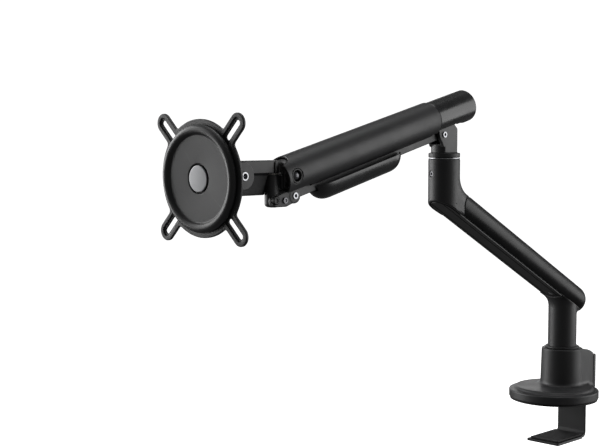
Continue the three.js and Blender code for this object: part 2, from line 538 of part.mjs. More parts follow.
// ---- knuckle ------------------------------------------------------------------------------
function knuckleCasting() {
  const ball = new THREE.SphereGeometry(15.9, ROUND, SMALL).translate(0, KNUCKLE.y, KNUCKLE.z);
  const disc = common(ball, block(-8.8, 8.8, KNUCKLE.y - 8.4, KNUCKLE.y + 12, 260, 303));
  const trunnion = crosswise(7.8, -13.4, 13.4, KNUCKLE.y, KNUCKLE.z, ROUND);
  const web = block(-5.8, 5.8, SWIVEL_Y, KNUCKLE.y, KNUCKLE_BOTTOM + 1, SWIVEL_TOP - 1);
  const barrel = upright(SWIVEL_RADIUS, KNUCKLE_BOTTOM, SWIVEL_TOP, 0, SWIVEL_Y, ROUND);
  const foot = sideProfile([[-516, 264], [-512, KNUCKLE_BOTTOM], [-497, KNUCKLE_BOTTOM], [-480, 265],
    [-478, 270], [-483, 276], [-496, 275], [-500, 269.6], [-514, 269.6]], -YOKE_HALF_WIDTH, YOKE_HALF_WIDTH);
  const boss = crosswise(7.4, -YOKE_HALF_WIDTH, YOKE_HALF_WIDTH, LINK_FRONT.y, LINK_FRONT.z, ROUND);
  const linkRoom = join(
    crosswise(6.4, -LINK_SLOT, LINK_SLOT, LINK_FRONT.y, LINK_FRONT.z, SMALL),
    sideProfile([[-485, 262], [-470, 250], [-460, 290], [-476, 286], [-487, 275]], -LINK_SLOT, LINK_SLOT));
  const pivotBore = crosswise(4.2, -20, 20, KNUCKLE.y, KNUCKLE.z);
  const linkBore = crosswise(2.9, -20, 20, LINK_FRONT.y, LINK_FRONT.z);
  const swivelBore = upright(4.3, KNUCKLE_BOTTOM + 4, SWIVEL_TOP + SWEEP, 0, SWIVEL_Y, SMALL);
  const screwBore = crosswise(2.2, -11, 11, FRICTION_SCREW.y, FRICTION_SCREW.z, TINY);
  const plugBore = crosswise(4, 6.4, 11, PLUG.y, PLUG.z, TINY);
  return cut(join(disc, trunnion, web, barrel, foot, boss),
    linkRoom, pivotBore, linkBore, swivelBore, screwBore, plugBore);
}

const FRICTION_SCREW = { y: -499, z: 264.9 };
const PLUG = { y: -510.4, z: 265.2 };
add(arm, 'knuckle_casting', knuckleCasting(), BLACK_PAINT);
add(arm, 'link_front_pin', ringHeadPin(LINK_FRONT), STEEL);
add(arm, 'swivel_friction_screw', join(
  crosswise(2, -10.5, 10.5, FRICTION_SCREW.y, FRICTION_SCREW.z, TINY),
  crosswise(3.2, YOKE_HALF_WIDTH + 0.2, YOKE_HALF_WIDTH + 1.4, FRICTION_SCREW.y, FRICTION_SCREW.z, TINY)), STEEL);
add(arm, 'knuckle_plug', crosswise(3.7, 6.8, YOKE_HALF_WIDTH + 0.6, PLUG.y, PLUG.z, TINY), BLACK_PLASTIC);
add(arm, 'swivel_washer', ring(4.3, SWIVEL_RADIUS, SWIVEL_TOP + 0.1, SWIVEL_TOP + 0.7, ROUND)
  .translate(0, SWIVEL_Y, 0), NYLON);

// ---- head: neck that swivels on the knuckle -------------------------------------------------
function neckCasting() {
  const bottom = SWIVEL_TOP + 1;
  const lug = upright(7.5, bottom, NECK_TOP - 0.5, 0, SWIVEL_Y, ROUND);
  const beam = block(-NECK_HALF_WIDTH, NECK_HALF_WIDTH, TILT.y, SWIVEL_Y, bottom, NECK_TOP - 0.5);
  const web = block(-4.6, 4.6, TILT.y, SWIVEL_Y - SWIVEL_RADIUS - 0.6, 270.2, bottom + 1);
  const boss = crosswise(TILT_RADIUS, -NECK_HALF_WIDTH, NECK_HALF_WIDTH, TILT.y, TILT.z, ROUND);
  const boltBore = crosswise(4.1, -20, 20, TILT.y, TILT.z);
  const pinBore = upright(4.1, bottom - SWEEP, NECK_TOP - 3, 0, SWIVEL_Y, SMALL);
  const slit = block(-1, NECK_HALF_WIDTH + 2, SWIVEL_Y - 3.5, SWIVEL_Y - 2.3, bottom - 1, NECK_TOP - 2.5);
  const nearLug = cut(join(lug, beam), slit);
  return cut(join(nearLug, web, boss), boltBore, pinBore);
}

add(arm, 'neck_casting', neckCasting(), BLACK_PAINT);
add(arm, 'swivel_pin', upright(4, KNUCKLE_BOTTOM + 4 + GAP, NECK_TOP - 3 - GAP, 0, SWIVEL_Y, SMALL), STEEL);

// ---- screen end, in the plate's own axes: origin on the tilt axis ---------------------------
for (const side of [-1, 1]) {
  const name = side > 0 ? 'friction_washer_near' : 'friction_washer_far';
  const washer = cut(
    crosswise(TILT_RADIUS - 0.5, side > 0 ? 7.2 : -8.4, side > 0 ? 8.4 : -7.2, 0, 0, ROUND),
    crosswise(4.2, -10, 10, 0, 0));
  add(screenEnd, name, washer, NYLON);
}

function tiltBracket() {
  const bridge = block(-12.6, 12.6, -24, -14.6, -13, 13);
  const nearEar = join(crosswise(TILT_RADIUS, 8.6, 12.6, 0, 0, ROUND), block(8.6, 12.6, -20, 0, -TILT_RADIUS, TILT_RADIUS));
  const farEar = join(crosswise(TILT_RADIUS, -12.6, -8.6, 0, 0, ROUND), block(-12.6, -8.6, -20, 0, -TILT_RADIUS, TILT_RADIUS));
  const flange = lengthwise(HUB_RADIUS, -27, -23, 0, 0, ROUND);
  const boltBore = crosswise(4.1, -20, 20, 0, 0);
  const spindleBore = lengthwise(5.1, -30, -19, 0, 0, SMALL);
  return cut(join(bridge, nearEar, farEar, flange), boltBore, spindleBore);
}

function tiltBolt() {
  const shank = crosswise(4, -13.6, 13.6, 0, 0, SMALL);
  const head = crosswise(4.8, 12.8, 14.4, 0, 0, SMALL);
  const nut = crosswise(6.5, -16.8, -12.8, 0, 0, 6);
  const hexSocket = crosswise(2.9, 12.4, 15, 0, 0, 6);
  return cut(join(shank, head, nut), hexSocket);
}

add(screenEnd, 'tilt_bracket', tiltBracket(), BLACK_PAINT);
add(screenEnd, 'tilt_bolt', tiltBolt(), STEEL);

function earPlate() {
  const sheet = lengthwise(PLATE_RADIUS, PLATE_BACK - EAR_SHEET, PLATE_BACK, 0, 0, FINE);
  const ears = [];
  const slots = [];
  for (const turn of [45, 135, 225, 315]) {
    const angle = THREE.MathUtils.degToRad(turn);
    ears.push(frontProfile(capsule(EAR_RADIUS, 40, EAR_CENTRE), PLATE_BACK, EAR_SHEET, 10).rotateY(angle));
    slots.push(frontProfile(capsule(SLOT_RADIUS, SLOT_INNER, EAR_CENTRE), PLATE_BACK + 1, EAR_SHEET + 2, 8)
      .rotateY(angle));
  }
  const hubBore = lengthwise(8, PLATE_BACK - 10, PLATE_BACK + 10, 0, 0, ROUND);
  return cut(join(sheet, ...ears), hubBore, ...slots);
}

// The dish is turned about the plate's normal; heights run forward from the ear plate's face.
const DISH_BACK = PLATE_BACK - EAR_SHEET - GAP;
function facing(geometry) {
  return geometry.rotateX(Math.PI / 2).translate(0, DISH_BACK, 0);
}

function dish() {
  return facing(turned([
    [BADGE_RADIUS + 1.2, 0], [DISH_RADIUS, 0], [DISH_RADIUS, 2.2], [DISH_RADIUS - 1.6, 4.4],
    [DISH_RADIUS - 4.6, 5.6], [DISH_FLOOR_RADIUS + 1.8, 4.6], [DISH_FLOOR_RADIUS, 2.2],
    [BADGE_RADIUS + 1.2, 2.2], [BADGE_RADIUS + 1.2, 0],
  ], FINE));
}

add(screenEnd, 'rotation_spindle', join(
  lengthwise(5, -39.2, -20, 0, 0, SMALL), lengthwise(12, -39.2, -37, 0, 0, ROUND)), STEEL);
add(screenEnd, 'rotation_hub', cut(
  lengthwise(HUB_RADIUS, -36.7, -27.5, 0, 0, ROUND), lengthwise(5.3, -38, -20, 0, 0, SMALL)), BLACK_PLASTIC);
add(screenEnd, 'ear_plate', earPlate(), BLACK_PAINT);
add(screenEnd, 'dish', dish(), BLACK_PAINT);
add(screenEnd, 'centre_disc', lengthwise(BADGE_RADIUS, DISH_BACK - 2.6, DISH_BACK - 0.2, 0, 0, ROUND), ALUMINIUM);

export default arm;
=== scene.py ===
"""Looks of a desk-clamped monitor arm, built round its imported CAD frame.

Lengths are in millimetres until a mesh is made.
"""
import json
import math

import bmesh
import bpy
import numpy as np
from mathutils import Matrix, Vector


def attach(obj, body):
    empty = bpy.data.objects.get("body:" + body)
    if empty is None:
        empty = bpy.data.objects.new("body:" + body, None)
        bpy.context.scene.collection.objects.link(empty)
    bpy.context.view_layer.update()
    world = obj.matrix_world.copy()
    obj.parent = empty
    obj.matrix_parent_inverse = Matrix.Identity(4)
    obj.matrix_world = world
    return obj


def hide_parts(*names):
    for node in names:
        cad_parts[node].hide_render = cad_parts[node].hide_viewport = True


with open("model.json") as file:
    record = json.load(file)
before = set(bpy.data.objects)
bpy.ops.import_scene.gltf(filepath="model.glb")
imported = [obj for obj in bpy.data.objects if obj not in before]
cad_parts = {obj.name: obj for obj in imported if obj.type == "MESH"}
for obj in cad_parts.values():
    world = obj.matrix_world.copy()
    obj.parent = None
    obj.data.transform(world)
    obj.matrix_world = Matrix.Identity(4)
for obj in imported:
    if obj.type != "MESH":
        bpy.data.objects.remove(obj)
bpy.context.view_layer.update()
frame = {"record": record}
MM = 0.001

# ---- dimensions shared with the CAD and its record -------------------------------------------
DISC_Y = -17.4                       # centre of the round foot
DISC_R = 54.8
TOWER_TOP = 62
TOWER_BACK = 33.3
POST_BORE = 19.3
NUT_ROOM_TOP = 46.4
SCREW_Y = 31.0
THREAD_R = 3.9
PITCH = 1.25
PLATE_HALF, JAW_HALF = 20.0, 23.0    # half widths of the clamp's hanging plate and its jaw
JAW_FRONT = -41.2
JAW_LOW, JAW_TOP = -53.2, -50
ARM_R = 17.5                         # post, diagonal and elbow barrel
DIAGONAL_Z = 131.5                   # where the diagonal's axis meets the post's
DIAGONAL = math.radians(27.97)
FLAT = 12.6                          # from the diagonal's axis down to its underside
COVER_END = 22.8
ELBOW_Y = -241.3
ELBOW_TOP = 300.7
SET_SCREW_Z = 284.5
SET_SCREW_TURN = math.radians(-18)
LIFT_Y, LIFT_Z = -258.8, 346.9
ROLLER_DROP = 7.5
TUBE = math.radians(14.17)
TUBE_R = 18.8
TUBE_BORE = 16.4
TAIL_R = 17.8
PIVOTS = 238.7                       # between the upper arm's two pivots
LINK_BACK, LINK_DROP = 5.0, 19.4     # from each of them to the parallel link's pivot
LINK_PIN_BORE = 2.9
KNUCKLE_Y = LIFT_Y - PIVOTS * math.cos(TUBE)
KNUCKLE_Z = LIFT_Z - PIVOTS * math.sin(TUBE)
REAR_Y, REAR_Z = LIFT_Y + LINK_BACK, LIFT_Z - LINK_DROP
FRONT_Y, FRONT_Z = KNUCKLE_Y + LINK_BACK, KNUCKLE_Z - LINK_DROP
SWIVEL_Y = -507.2
SWIVEL_R = 6.8
FRICTION_Y, FRICTION_Z = -499, 264.9
PLUG_Y, PLUG_Z = -510.4, 265.2
TILT_Y, TILT_Z = -554.5, 289.4
TILT_R = 13
TILT_BORE = 4.1
LEAN = math.radians(1.8)
PLATE_BACK = -39.5
PLATE_FACE = PLATE_BACK - 3.0
PLATE_R = 54
EAR_R = 9.1
SLOT_IN, SLOT_OUT = 53, 70.7         # 75 mm and 100 mm square patterns of screen holes
SLOT_R = 2.6

# Not in the CAD: the clamp screw's cut thread, and the rounder front edge of the long cover.
THREAD_DEPTH = 0.45
COVER_FRONT_Y = -225.6
FRONT_ROUND = 38.0
FRONT_LOW, FRONT_RISE = 3.4, 21.2


def placed(y, z, angle=0.0):
    return Matrix.Translation((0, y, z)) @ Matrix.Rotation(angle, 4, "X")


WORLD = Matrix.Identity(4)
ON_DIAGONAL = placed(0, DIAGONAL_Z, -DIAGONAL)
ON_TUBE = placed(LIFT_Y, LIFT_Z, TUBE)
ON_LINK = placed(REAR_Y, REAR_Z, TUBE)
ON_PLATE = placed(TILT_Y, TILT_Z, LEAN)


# ---- distance fields -------------------------------------------------------------------------
def hyp(*parts):
    return np.sqrt(sum(p * p for p in parts))


def slab(t, low, high):
    return np.abs(t - (low + high) / 2) - (high - low) / 2


def smin(a, b, k):
    """Union with a fillet of size k."""
    h = np.clip(0.5 + 0.5 * (b - a) / k, 0, 1)
    return b + (a - b) * h - k * h * (1 - h)


def smax(a, b, k):
    return -smin(-a, -b, k)


def both(a, b, r=0.6):
    """Intersection with an edge of radius r."""
    u, v = np.maximum(a + r, 0), np.maximum(b + r, 0)
    return np.minimum(np.maximum(a + r, b + r), 0) + np.sqrt(u * u + v * v) - r


def brick(x, y, z, x0, x1, y0, y1, z0, z1, r=0.6):
    q = [slab(x, x0, x1) + r, slab(y, y0, y1) + r, slab(z, z0, z1) + r]
    out = hyp(*[np.maximum(c, 0) for c in q])
    return out + np.minimum(np.maximum(np.maximum(q[0], q[1]), q[2]), 0) - r


def less(body, *tools, r=0.5):
    """The body without the tools, with an edge of radius r round each cut."""
    for tool in tools:
        body = both(body, -tool, r)
    return body


def outline(u, v, points):
    """Signed distance to a polygon, negative inside."""
    best, sign = None, None
    for i, (bx, by) in enumerate(points):
        ax, ay = points[i - 1]
        ex, ey = bx - ax, by - ay
        wx, wy = u - ax, v - ay
        t = np.clip((wx * ex + wy * ey) / (ex * ex + ey * ey), 0, 1)
        d = (wx - ex * t) ** 2 + (wy - ey * t) ** 2
        above, below = v >= ay, v < by
        left = ex * wy > ey * wx
        flip = np.where((above & below & left) | (~above & ~below & ~left), -1.0, 1.0)
        best = d if best is None else np.minimum(best, d)
        sign = flip if sign is None else sign * flip
    return sign * np.sqrt(best)


def capsule(u, v, low, high, radius):
    return hyp(u - np.clip(u, low, high), v) - radius


# ---- meshes from distance fields -------------------------------------------------------------
def steps(*spans):
    """Grid lines through spans of (start, end, spacing)."""
    lines = [np.linspace(a, b, max(2, int(round((b - a) / s)) + 1)) for a, b, s in spans]
    return np.unique(np.concatenate(lines).round(6))


CORNERS = ((1, 1), (0, 1), (0, 0), (1, 0))
RIM_VALUE = 0.02         # least value at the grid's edge, so that every mesh closes
SETTLE_STEPS = 4         # moves of each vertex towards the surface
MAX_MOVE = 0.4
LEAST_SLOPE = 0.05
COARSE = 3.0             # grid spacing along straight lengths


def skin(field, xs, ys, zs):
    """Vertices, faces and normals of the field's zero surface.

    There is one vertex in each grid cell that the surface crosses.
    """
    shape = (len(xs), len(ys), len(zs))
    grid = field(xs[:, None, None], ys[None, :, None], zs[None, None, :])
    grid = np.array(np.broadcast_to(grid, shape), np.float32)
    for axis in range(3):
        for end in (0, -1):
            rim = tuple(end if a == axis else slice(None) for a in range(3))
            grid[rim] = np.maximum(grid[rim], RIM_VALUE)
    cells = tuple(n + 1 for n in shape)
    ids, points, faces = [], [], []
    for axis, lines in enumerate((xs, ys, zs)):
        low = np.take(grid, range(shape[axis] - 1), axis)
        high = np.take(grid, range(1, shape[axis]), axis)
        where = np.nonzero((low < 0) != (high < 0))
        a, b = low[where].astype(float), high[where].astype(float)
        at = [xs[where[0]], ys[where[1]], zs[where[2]]]
        k = where[axis]
        at[axis] = lines[k] + (lines[k + 1] - lines[k]) * a / (a - b)
        at = np.stack(at, 1)
        u, v = (axis + 1) % 3, (axis + 2) % 3
        corner = []
        for du, dv in CORNERS:
            cell = [w + 1 for w in where]
            cell[u] -= du
            cell[v] -= dv
            corner.append(np.ravel_multi_index(cell, cells))
        ids += corner
        points += [at] * 4
        quad = np.stack(corner, 1)
        quad[a >= 0] = quad[a >= 0][:, ::-1]
        faces.append(quad)
    ids, points, faces = np.concatenate(ids), np.concatenate(points), np.concatenate(faces)
    used, index = np.unique(ids, return_inverse=True)
    count = np.bincount(index)[:, None]
    verts = np.stack([np.bincount(index, points[:, c]) for c in range(3)], 1) / count
    faces = np.searchsorted(used, faces)
    for _ in range(SETTLE_STEPS):
        value, slope = gradient(field, verts)
        move = value[:, None] * slope / np.maximum((slope ** 2).sum(1), LEAST_SLOPE)[:, None]
        verts = verts - np.clip(move, -MAX_MOVE, MAX_MOVE)
    slope = gradient(field, verts)[1]
    return verts, faces, slope / np.maximum(np.linalg.norm(slope, axis=1), 1e-9)[:, None]


def gradient(field, p, e=0.03):
    """The field's value and slope at the points p, from differences over 2e."""
    value = field(p[:, 0], p[:, 1], p[:, 2])
    slope = []
    for c in range(3):
        q, m = p.copy(), p.copy()
        q[:, c] += e
        m[:, c] -= e
        slope.append((field(q[:, 0], q[:, 1], q[:, 2]) - field(m[:, 0], m[:, 1], m[:, 2])) / (2 * e))
    return value, np.stack(slope, 1)


def to_object(name, verts, faces, matrix, normals=None):
    """An object from vertices in millimetres, and faces as a list or as an array of quads."""
    mesh = bpy.data.meshes.new(name)
    if isinstance(faces, list):
        mesh.from_pydata([tuple(c * MM for c in v) for v in verts], [], faces)
    else:
        mesh.vertices.add(len(verts))
        mesh.vertices.foreach_set("co", (verts * MM).astype(np.float32).ravel())
        mesh.loops.add(faces.size)
        mesh.loops.foreach_set("vertex_index", faces.astype(np.int32).ravel())
        mesh.polygons.add(len(faces))
        mesh.polygons.foreach_set("loop_start", np.arange(0, faces.size, 4, dtype=np.int32))
    mesh.update(calc_edges=True)
    mesh.validate()
    mesh.polygons.foreach_set("use_smooth", [True] * len(mesh.polygons))
    if normals is not None:
        mesh.normals_split_custom_set_from_vertices(normals)
    placement = matrix.copy()
    placement.translation = placement.translation * MM
    mesh.transform(placement)
    piece = bpy.data.objects.new(name, mesh)
    bpy.context.scene.collection.objects.link(piece)
    return piece


def cast(name, field, xs, ys, zs, matrix=WORLD):
    verts, faces, normals = skin(field, steps(*xs), steps(*ys), steps(*zs))
    return to_object(name, verts, faces, matrix, normals)


# ---- turned pieces ---------------------------------------------------------------------------
ARC_STEPS = 5
EDGE_ROUND = 0.35                    # rounding of a corner that names none
MOST_OF_EDGE = 0.45                  # share of an edge that one corner's rounding may take
SHARP_ANGLE = math.radians(38)


def softened(points, closed):
    """The profile [(radius, height, rounding), ...] with each corner replaced by an arc."""
    out = []
    for i, (x, y, r) in enumerate(points):
        ends = not closed and i in (0, len(points) - 1)
        p = Vector((x, y))
        if ends or r <= 0:
            out.append(p)
            continue
        before, after = Vector(points[i - 1][:2]), Vector(points[(i + 1) % len(points)][:2])
        a, b = (before - p), (after - p)
        r = min(r, a.length * MOST_OF_EDGE, b.length * MOST_OF_EDGE)
        a, b = p + a.normalized() * r, p + b.normalized() * r
        for j in range(ARC_STEPS + 1):
            t = j / ARC_STEPS
            out.append(a * (1 - t) ** 2 + p * 2 * t * (1 - t) + b * t ** 2)
    return out


def turn(name, points, axis, at, matrix=WORLD, sides=72):
    """A profile turned about an axis through the point at.

    A profile that doesn't start on the axis is closed on itself.
    """
    closed = points[0][0] > 0
    profile = softened([(*p, EDGE_ROUND)[:3] for p in points], closed)
    verts, faces, n = [], [], len(profile)
    for i in range(sides):
        a = math.tau * i / sides
        verts += [(p.x * math.cos(a), p.x * math.sin(a), p.y) for p in profile]
    last = n if closed else n - 1
    for i in range(sides):
        j = (i + 1) % sides
        for k in range(last):
            m = (k + 1) % n
            faces.append((i * n + k, j * n + k, j * n + m, i * n + m))
    turned = {"X": Matrix.Rotation(math.pi / 2, 4, "Y"), "Y": Matrix.Rotation(math.pi / 2, 4, "X"),
              "Z": Matrix.Identity(4)}[axis]
    piece = to_object(name, verts, faces, matrix @ Matrix.Translation(at) @ turned)
    weld(piece)
    return piece


def weld(piece):
    bm = bmesh.new()
    bm.from_mesh(piece.data)
    bmesh.ops.remove_doubles(bm, verts=bm.verts, dist=1e-6)
    bmesh.ops.dissolve_degenerate(bm, dist=1e-7, edges=bm.edges)
    bmesh.ops.recalc_face_normals(bm, faces=bm.faces)
    bm.to_mesh(piece.data)
    bm.free()
    for polygon in piece.data.polygons:
        polygon.use_smooth = True
    piece.data.set_sharp_from_angle(angle=SHARP_ANGLE)


# ---- materials -------------------------------------------------------------------------------
BUMP_DEPTH = 0.00008                 # metres


def look(name, color, roughness, metallic=0.0, grain=0.25, grain_size=0.35, wear=0.12,
         worn=(0.3, 0.3, 0.31), brushed=None, mottle=0.12, shine=0.5):
    """A procedural finish: fine grain in the surface, uneven gloss and colour, and rubbed edges."""
    material = bpy.data.materials.new(name)
    material.use_nodes = True
    nodes, links = material.node_tree.nodes, material.node_tree.links
    shader = nodes["Principled BSDF"]
    shader.inputs["Metallic"].default_value = metallic
    shader.inputs["Specular IOR Level"].default_value = shine
    place = nodes.new("ShaderNodeTexCoord")
    stretch = nodes.new("ShaderNodeMapping")
    links.new(place.outputs["Object"], stretch.inputs["Vector"])
    stretch.inputs["Scale"].default_value = brushed or (1, 1, 1)

    def noise(scale, detail):
        node = nodes.new("ShaderNodeTexNoise")
        node.inputs["Scale"].default_value = scale
        node.inputs["Detail"].default_value = detail
        node.inputs["Roughness"].default_value = 0.6
        links.new(stretch.outputs["Vector"], node.inputs["Vector"])
        return node.outputs["Fac"]

    def spread(value, low, high, to_low, to_high):
        node = nodes.new("ShaderNodeMapRange")
        ends = {"From Min": low, "From Max": high, "To Min": to_low, "To Max": to_high}
        for socket, number in ends.items():
            node.inputs[socket].default_value = number
        links.new(value, node.inputs["Value"])
        return node.outputs["Result"]

    def mixed(factor, a, b):
        node = nodes.new("ShaderNodeMix")
        node.data_type = "RGBA"
        links.new(factor, node.inputs["Factor"])
        for socket, value in (("A", a), ("B", b)):
            target = [i for i in node.inputs if i.name == socket and i.type == "RGBA"][0]
            if isinstance(value, tuple):
                target.default_value = (*value, 1)
            else:
                links.new(value, target)
        return [o for o in node.outputs if o.type == "RGBA"][0]

    broad, fine = noise(38, 5), noise(1000 / grain_size, 3)
    dark = tuple(c * (1 - mottle) for c in color)
    light = tuple(c * (1 + mottle) for c in color)
    body = mixed(spread(broad, 0.35, 0.65, 0, 1), dark, light)
    edge = nodes.new("ShaderNodeNewGeometry").outputs["Pointiness"]
    rubbed = nodes.new("ShaderNodeMath")
    rubbed.operation = "MULTIPLY"
    links.new(spread(edge, 0.53, 0.62, 0, wear), rubbed.inputs[0])
    links.new(spread(noise(160, 6), 0.42, 0.62, 0.2, 1), rubbed.inputs[1])
    links.new(mixed(rubbed.outputs["Value"], body, worn), shader.inputs["Base Color"])
    uneven = nodes.new("ShaderNodeMath")
    uneven.operation = "ADD"
    links.new(spread(broad, 0.3, 0.7, roughness - 0.05, roughness + 0.05), uneven.inputs[0])
    links.new(spread(fine, 0.3, 0.7, -0.03, 0.03), uneven.inputs[1])
    links.new(uneven.outputs["Value"], shader.inputs["Roughness"])
    bump = nodes.new("ShaderNodeBump")
    bump.inputs["Strength"].default_value = grain
    bump.inputs["Distance"].default_value = BUMP_DEPTH
    links.new(fine, bump.inputs["Height"])
    links.new(bump.outputs["Normal"], shader.inputs["Normal"])
    return material


FINISHES = {
    "satin_black_metal": look("powder_coat", (0.013, 0.0132, 0.0142), 0.48,
                              grain=0.35, grain_size=0.6, wear=0.1),
    "black_plastic": look("moulded_plastic", (0.0095, 0.0097, 0.0105), 0.52,
                          grain=0.3, grain_size=0.45, wear=0.05),
    "gloss_black_plastic": look("gloss_plastic", (0.011, 0.0113, 0.012), 0.27, grain=0.08, wear=0.04),
    "rubber": look("rubber", (0.007, 0.007, 0.0075), 0.75, grain=0.5, grain_size=0.8, wear=0.02),
    "steel": look("bright_steel", (0.36, 0.365, 0.38), 0.34, 1.0,
                  grain=0.12, wear=0.3, worn=(0.8, 0.8, 0.8)),
    "dark_steel": look("blackened_steel", (0.11, 0.11, 0.116), 0.36, 1.0, grain=0.2, wear=0.3),
    "bare_aluminium": look("brushed_aluminium", (0.21, 0.212, 0.217), 0.42, 1.0, grain=0.5, wear=0.2,
                           worn=(0.5, 0.5, 0.5), brushed=(0.03, 1, 1), mottle=0.04),
    "nylon": look("nylon", (0.4, 0.39, 0.36), 0.5, grain=0.2, wear=0.0),
    "cover_plastic": look("cover_plastic", (0.0045, 0.0046, 0.005), 0.34,
                          grain=0.3, grain_size=0.5, wear=0.03, shine=0.16),
}
SLOT_OF = {s["node"]: s["material_slot"] for s in frame["record"]["subparts"]}
BODY_OF = {n: b for b, nodes in frame["record"]["behaviour"]["bodies"].items() for n in nodes}


def stand_for(piece, node, finish=None):
    """The piece takes the CAD node's place and body, and its slot's finish unless another is named."""
    slot = SLOT_OF[node]
    piece.data.materials.append(FINISHES[finish or slot])
    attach(piece, BODY_OF[node])
    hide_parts(node)
    return piece


# ---- base ------------------------------------------------------------------------------------
def base_field(x, y, z):
    from_disc, from_post = hyp(x, y - DISC_Y), hyp(x, y)
    wall = both(from_disc - DISC_R, slab(z, 2, 12.3), 1.6)
    tier = both(from_disc - 47.8, slab(z, 3, 16), 2.8)
    puck = smin(wall, tier, 4.0)
    tower = both(from_post - (26.3 - (z - 16) * 0.028), slab(z, 3, TOWER_TOP), 1.7)
    back = brick(x, y, z, -25, 25, 0, TOWER_BACK, 3, TOWER_TOP, 1.2)
    back = both(back, (z - TOWER_TOP + (y - 8) * 0.188) * 0.98, 1.5)
    back = smax(back, (z - 58.8 + (y - 25) * 0.518) * 0.888, 2.0)
    body = smax(smin(puck, np.minimum(tower, back), 5), 2 - z, 0.8)
    cover_room = both(TOWER_BACK - y, 8.7 - z, 0.4)
    nut_room = brick(x, y, z, -9, 9, 26, 35.7, -4, NUT_ROOM_TOP, 0.5)
    plate_slot = brick(x, y, z, -20.6, 20.6, 23, 27, -4, NUT_ROOM_TOP, 0.5)
    return less(body, cover_room, hyp(x, y) - POST_BORE + 40 * (z < 12), nut_room, plate_slot,
                both(hyp(x, y - SCREW_Y) - 7, 49.2 - z, 0.3), hyp(x, y - SCREW_Y) - 4.2, r=0.5)


def rear_cover_field(x, y, z):
    plan = both(slab(x, -25, 25), slab(y, 25, 42), 4.5)
    shell = both(both(plan, slab(z, 9, 51.5), 1.4), 33.6 - y, 0.4)
    inside = brick(x, y, z, -21, 21, 30, 39.5, 11.5, NUT_ROOM_TOP, 1.5)
    nut_room = brick(x, y, z, -9, 9, 30, 36, 5, 13, 0.5)
    return less(shell, inside, both(hyp(x, y - SCREW_Y) - 7, 13 - z, 0.4), nut_room)


def foot_pad_field(x, y, z):
    return both(both(hyp(x, y - DISC_Y) - 53.6, slab(z, 0, 1.75), 0.35), y - 22.6, 0.35)


def base_pieces():
    stand_for(cast("foot_and_tower", base_field, [(-56, 56, 0.85)], [(-73.5, 39, 0.85)],
                   [(1, 20, 0.6), (20, 56, 1.2), (56, 64, 0.6)]), "base_casting")
    stand_for(cast("tower_cover", rear_cover_field, [(-26, 26, 0.8)], [(32.5, 43.2, 0.5)],
                   [(8, 14, 0.6), (14, 44, 1.4), (44, 53, 0.6)]), "rear_cover")
    stand_for(cast("foot_pad", foot_pad_field, [(-55, 55, 1.0)], [(-72.5, 24, 1.0)], [(-0.8, 2.6, 0.42)]),
              "base_pad")
    stand_for(turn("post_lip", [(17.8, 44), (19, 44, 0.2), (19, 62.3, 0.2), (21, 62.3, 0.3), (21, 64, 0.8),
                                (20, 64.6, 0.8), (17.8, 64.6, 0.5)], "Z", (0, 0, 0)), "collar_bush")
    stand_for(turn("post_lower_bush", [(17.8, 16), (19, 16), (19, 28), (17.8, 28)], "Z", (0, 0, 0)),
              "lower_bush")
    stand_for(turn("post_thrust_washer", [(9, 12.3), (18.8, 12.3), (18.8, 14), (9, 14)], "Z", (0, 0, 0)),
              "thrust_washer")


# ---- clamp -----------------------------------------------------------------------------------
CLAMP_PATH = [(23.4, 17), (26.6, 17), (26.6, -46), (25.9, -49.6), (23.6, -52.4), (20, JAW_LOW),
              (JAW_FRONT, JAW_LOW), (JAW_FRONT, JAW_TOP), (19, JAW_TOP), (21.5, -49.2), (23, -47.4),
              (23.4, -45)]


def clamp_field(x, y, z):
    sheet = outline(y, z, CLAMP_PATH)
    half = np.clip(PLATE_HALF + (18 - y) * 0.6, PLATE_HALF, JAW_HALF)
    half = np.where(z < -45, half, PLATE_HALF)
    return both(sheet, both(np.abs(x) - half, JAW_FRONT - y, 2), 0.9)


def jaw_pad_field(x, y, z):
    pad = both(both(slab(x, -20, 20), slab(y, -38, 18.4), 2), slab(z, -49.7, -48), 0.5)
    ribs = 0.25 * np.sin(y * math.tau / 3.4) * (np.abs(x) < 18) * (slab(y, -36, 16) < 0) * (z > -48.9)
    return pad + np.where(ribs > 0, ribs, 0) * 0.9


def nut_field(x, y, z):
    return less(brick(x, y, z, -8, 8, 26.9, 35.4, 8, 16, 0.7), hyp(x, y - SCREW_Y) - 4)


def clamp_pieces():
    stand_for(cast("clamp_plate", clamp_field, [(-24, -17, 0.8), (-17, 17, 1.6), (17, 24, 0.8)],
                   [(-42.4, -33, 0.8), (-33, 15, 1.6), (15, 28, 0.5)],
                   [(-54.4, -44, 0.5), (-44, 12, 2), (12, 18, 0.6)]), "clamp_bracket")
    stand_for(cast("jaw_rubber", jaw_pad_field, [(-20.8, 20.8, 1.0)], [(-38.9, 19.4, 0.5)],
                   [(-50.5, -47.2, 0.4)]), "jaw_pad")
    thread = [(THREAD_R - THREAD_DEPTH * (i % 2), 4.2 + PITCH / 2 * i, 0.05) for i in range(58)]
    head = [(3.5, 41, 0.1), (3.9, 42), (3.9, 49.6, 0.1), (6.5, 49.5, 0.4), (6.5, 54.7, 0.8), (3.5, 54.7, 0.2),
            (3.3, 52.2, 0.1), (0, 52.2)]
    stand_for(turn("clamp_screw_m8", [(0, 3), (3.2, 3, 0.3), *thread, *head], "Z", (0, SCREW_Y, 0), sides=48),
              "clamp_screw")
    stand_for(cast("clamp_nut_block", nut_field, [(-8.8, 8.8, 0.6)], [(26, 36.2, 0.6)], [(7.2, 16.8, 0.6)]),
              "clamp_nut")


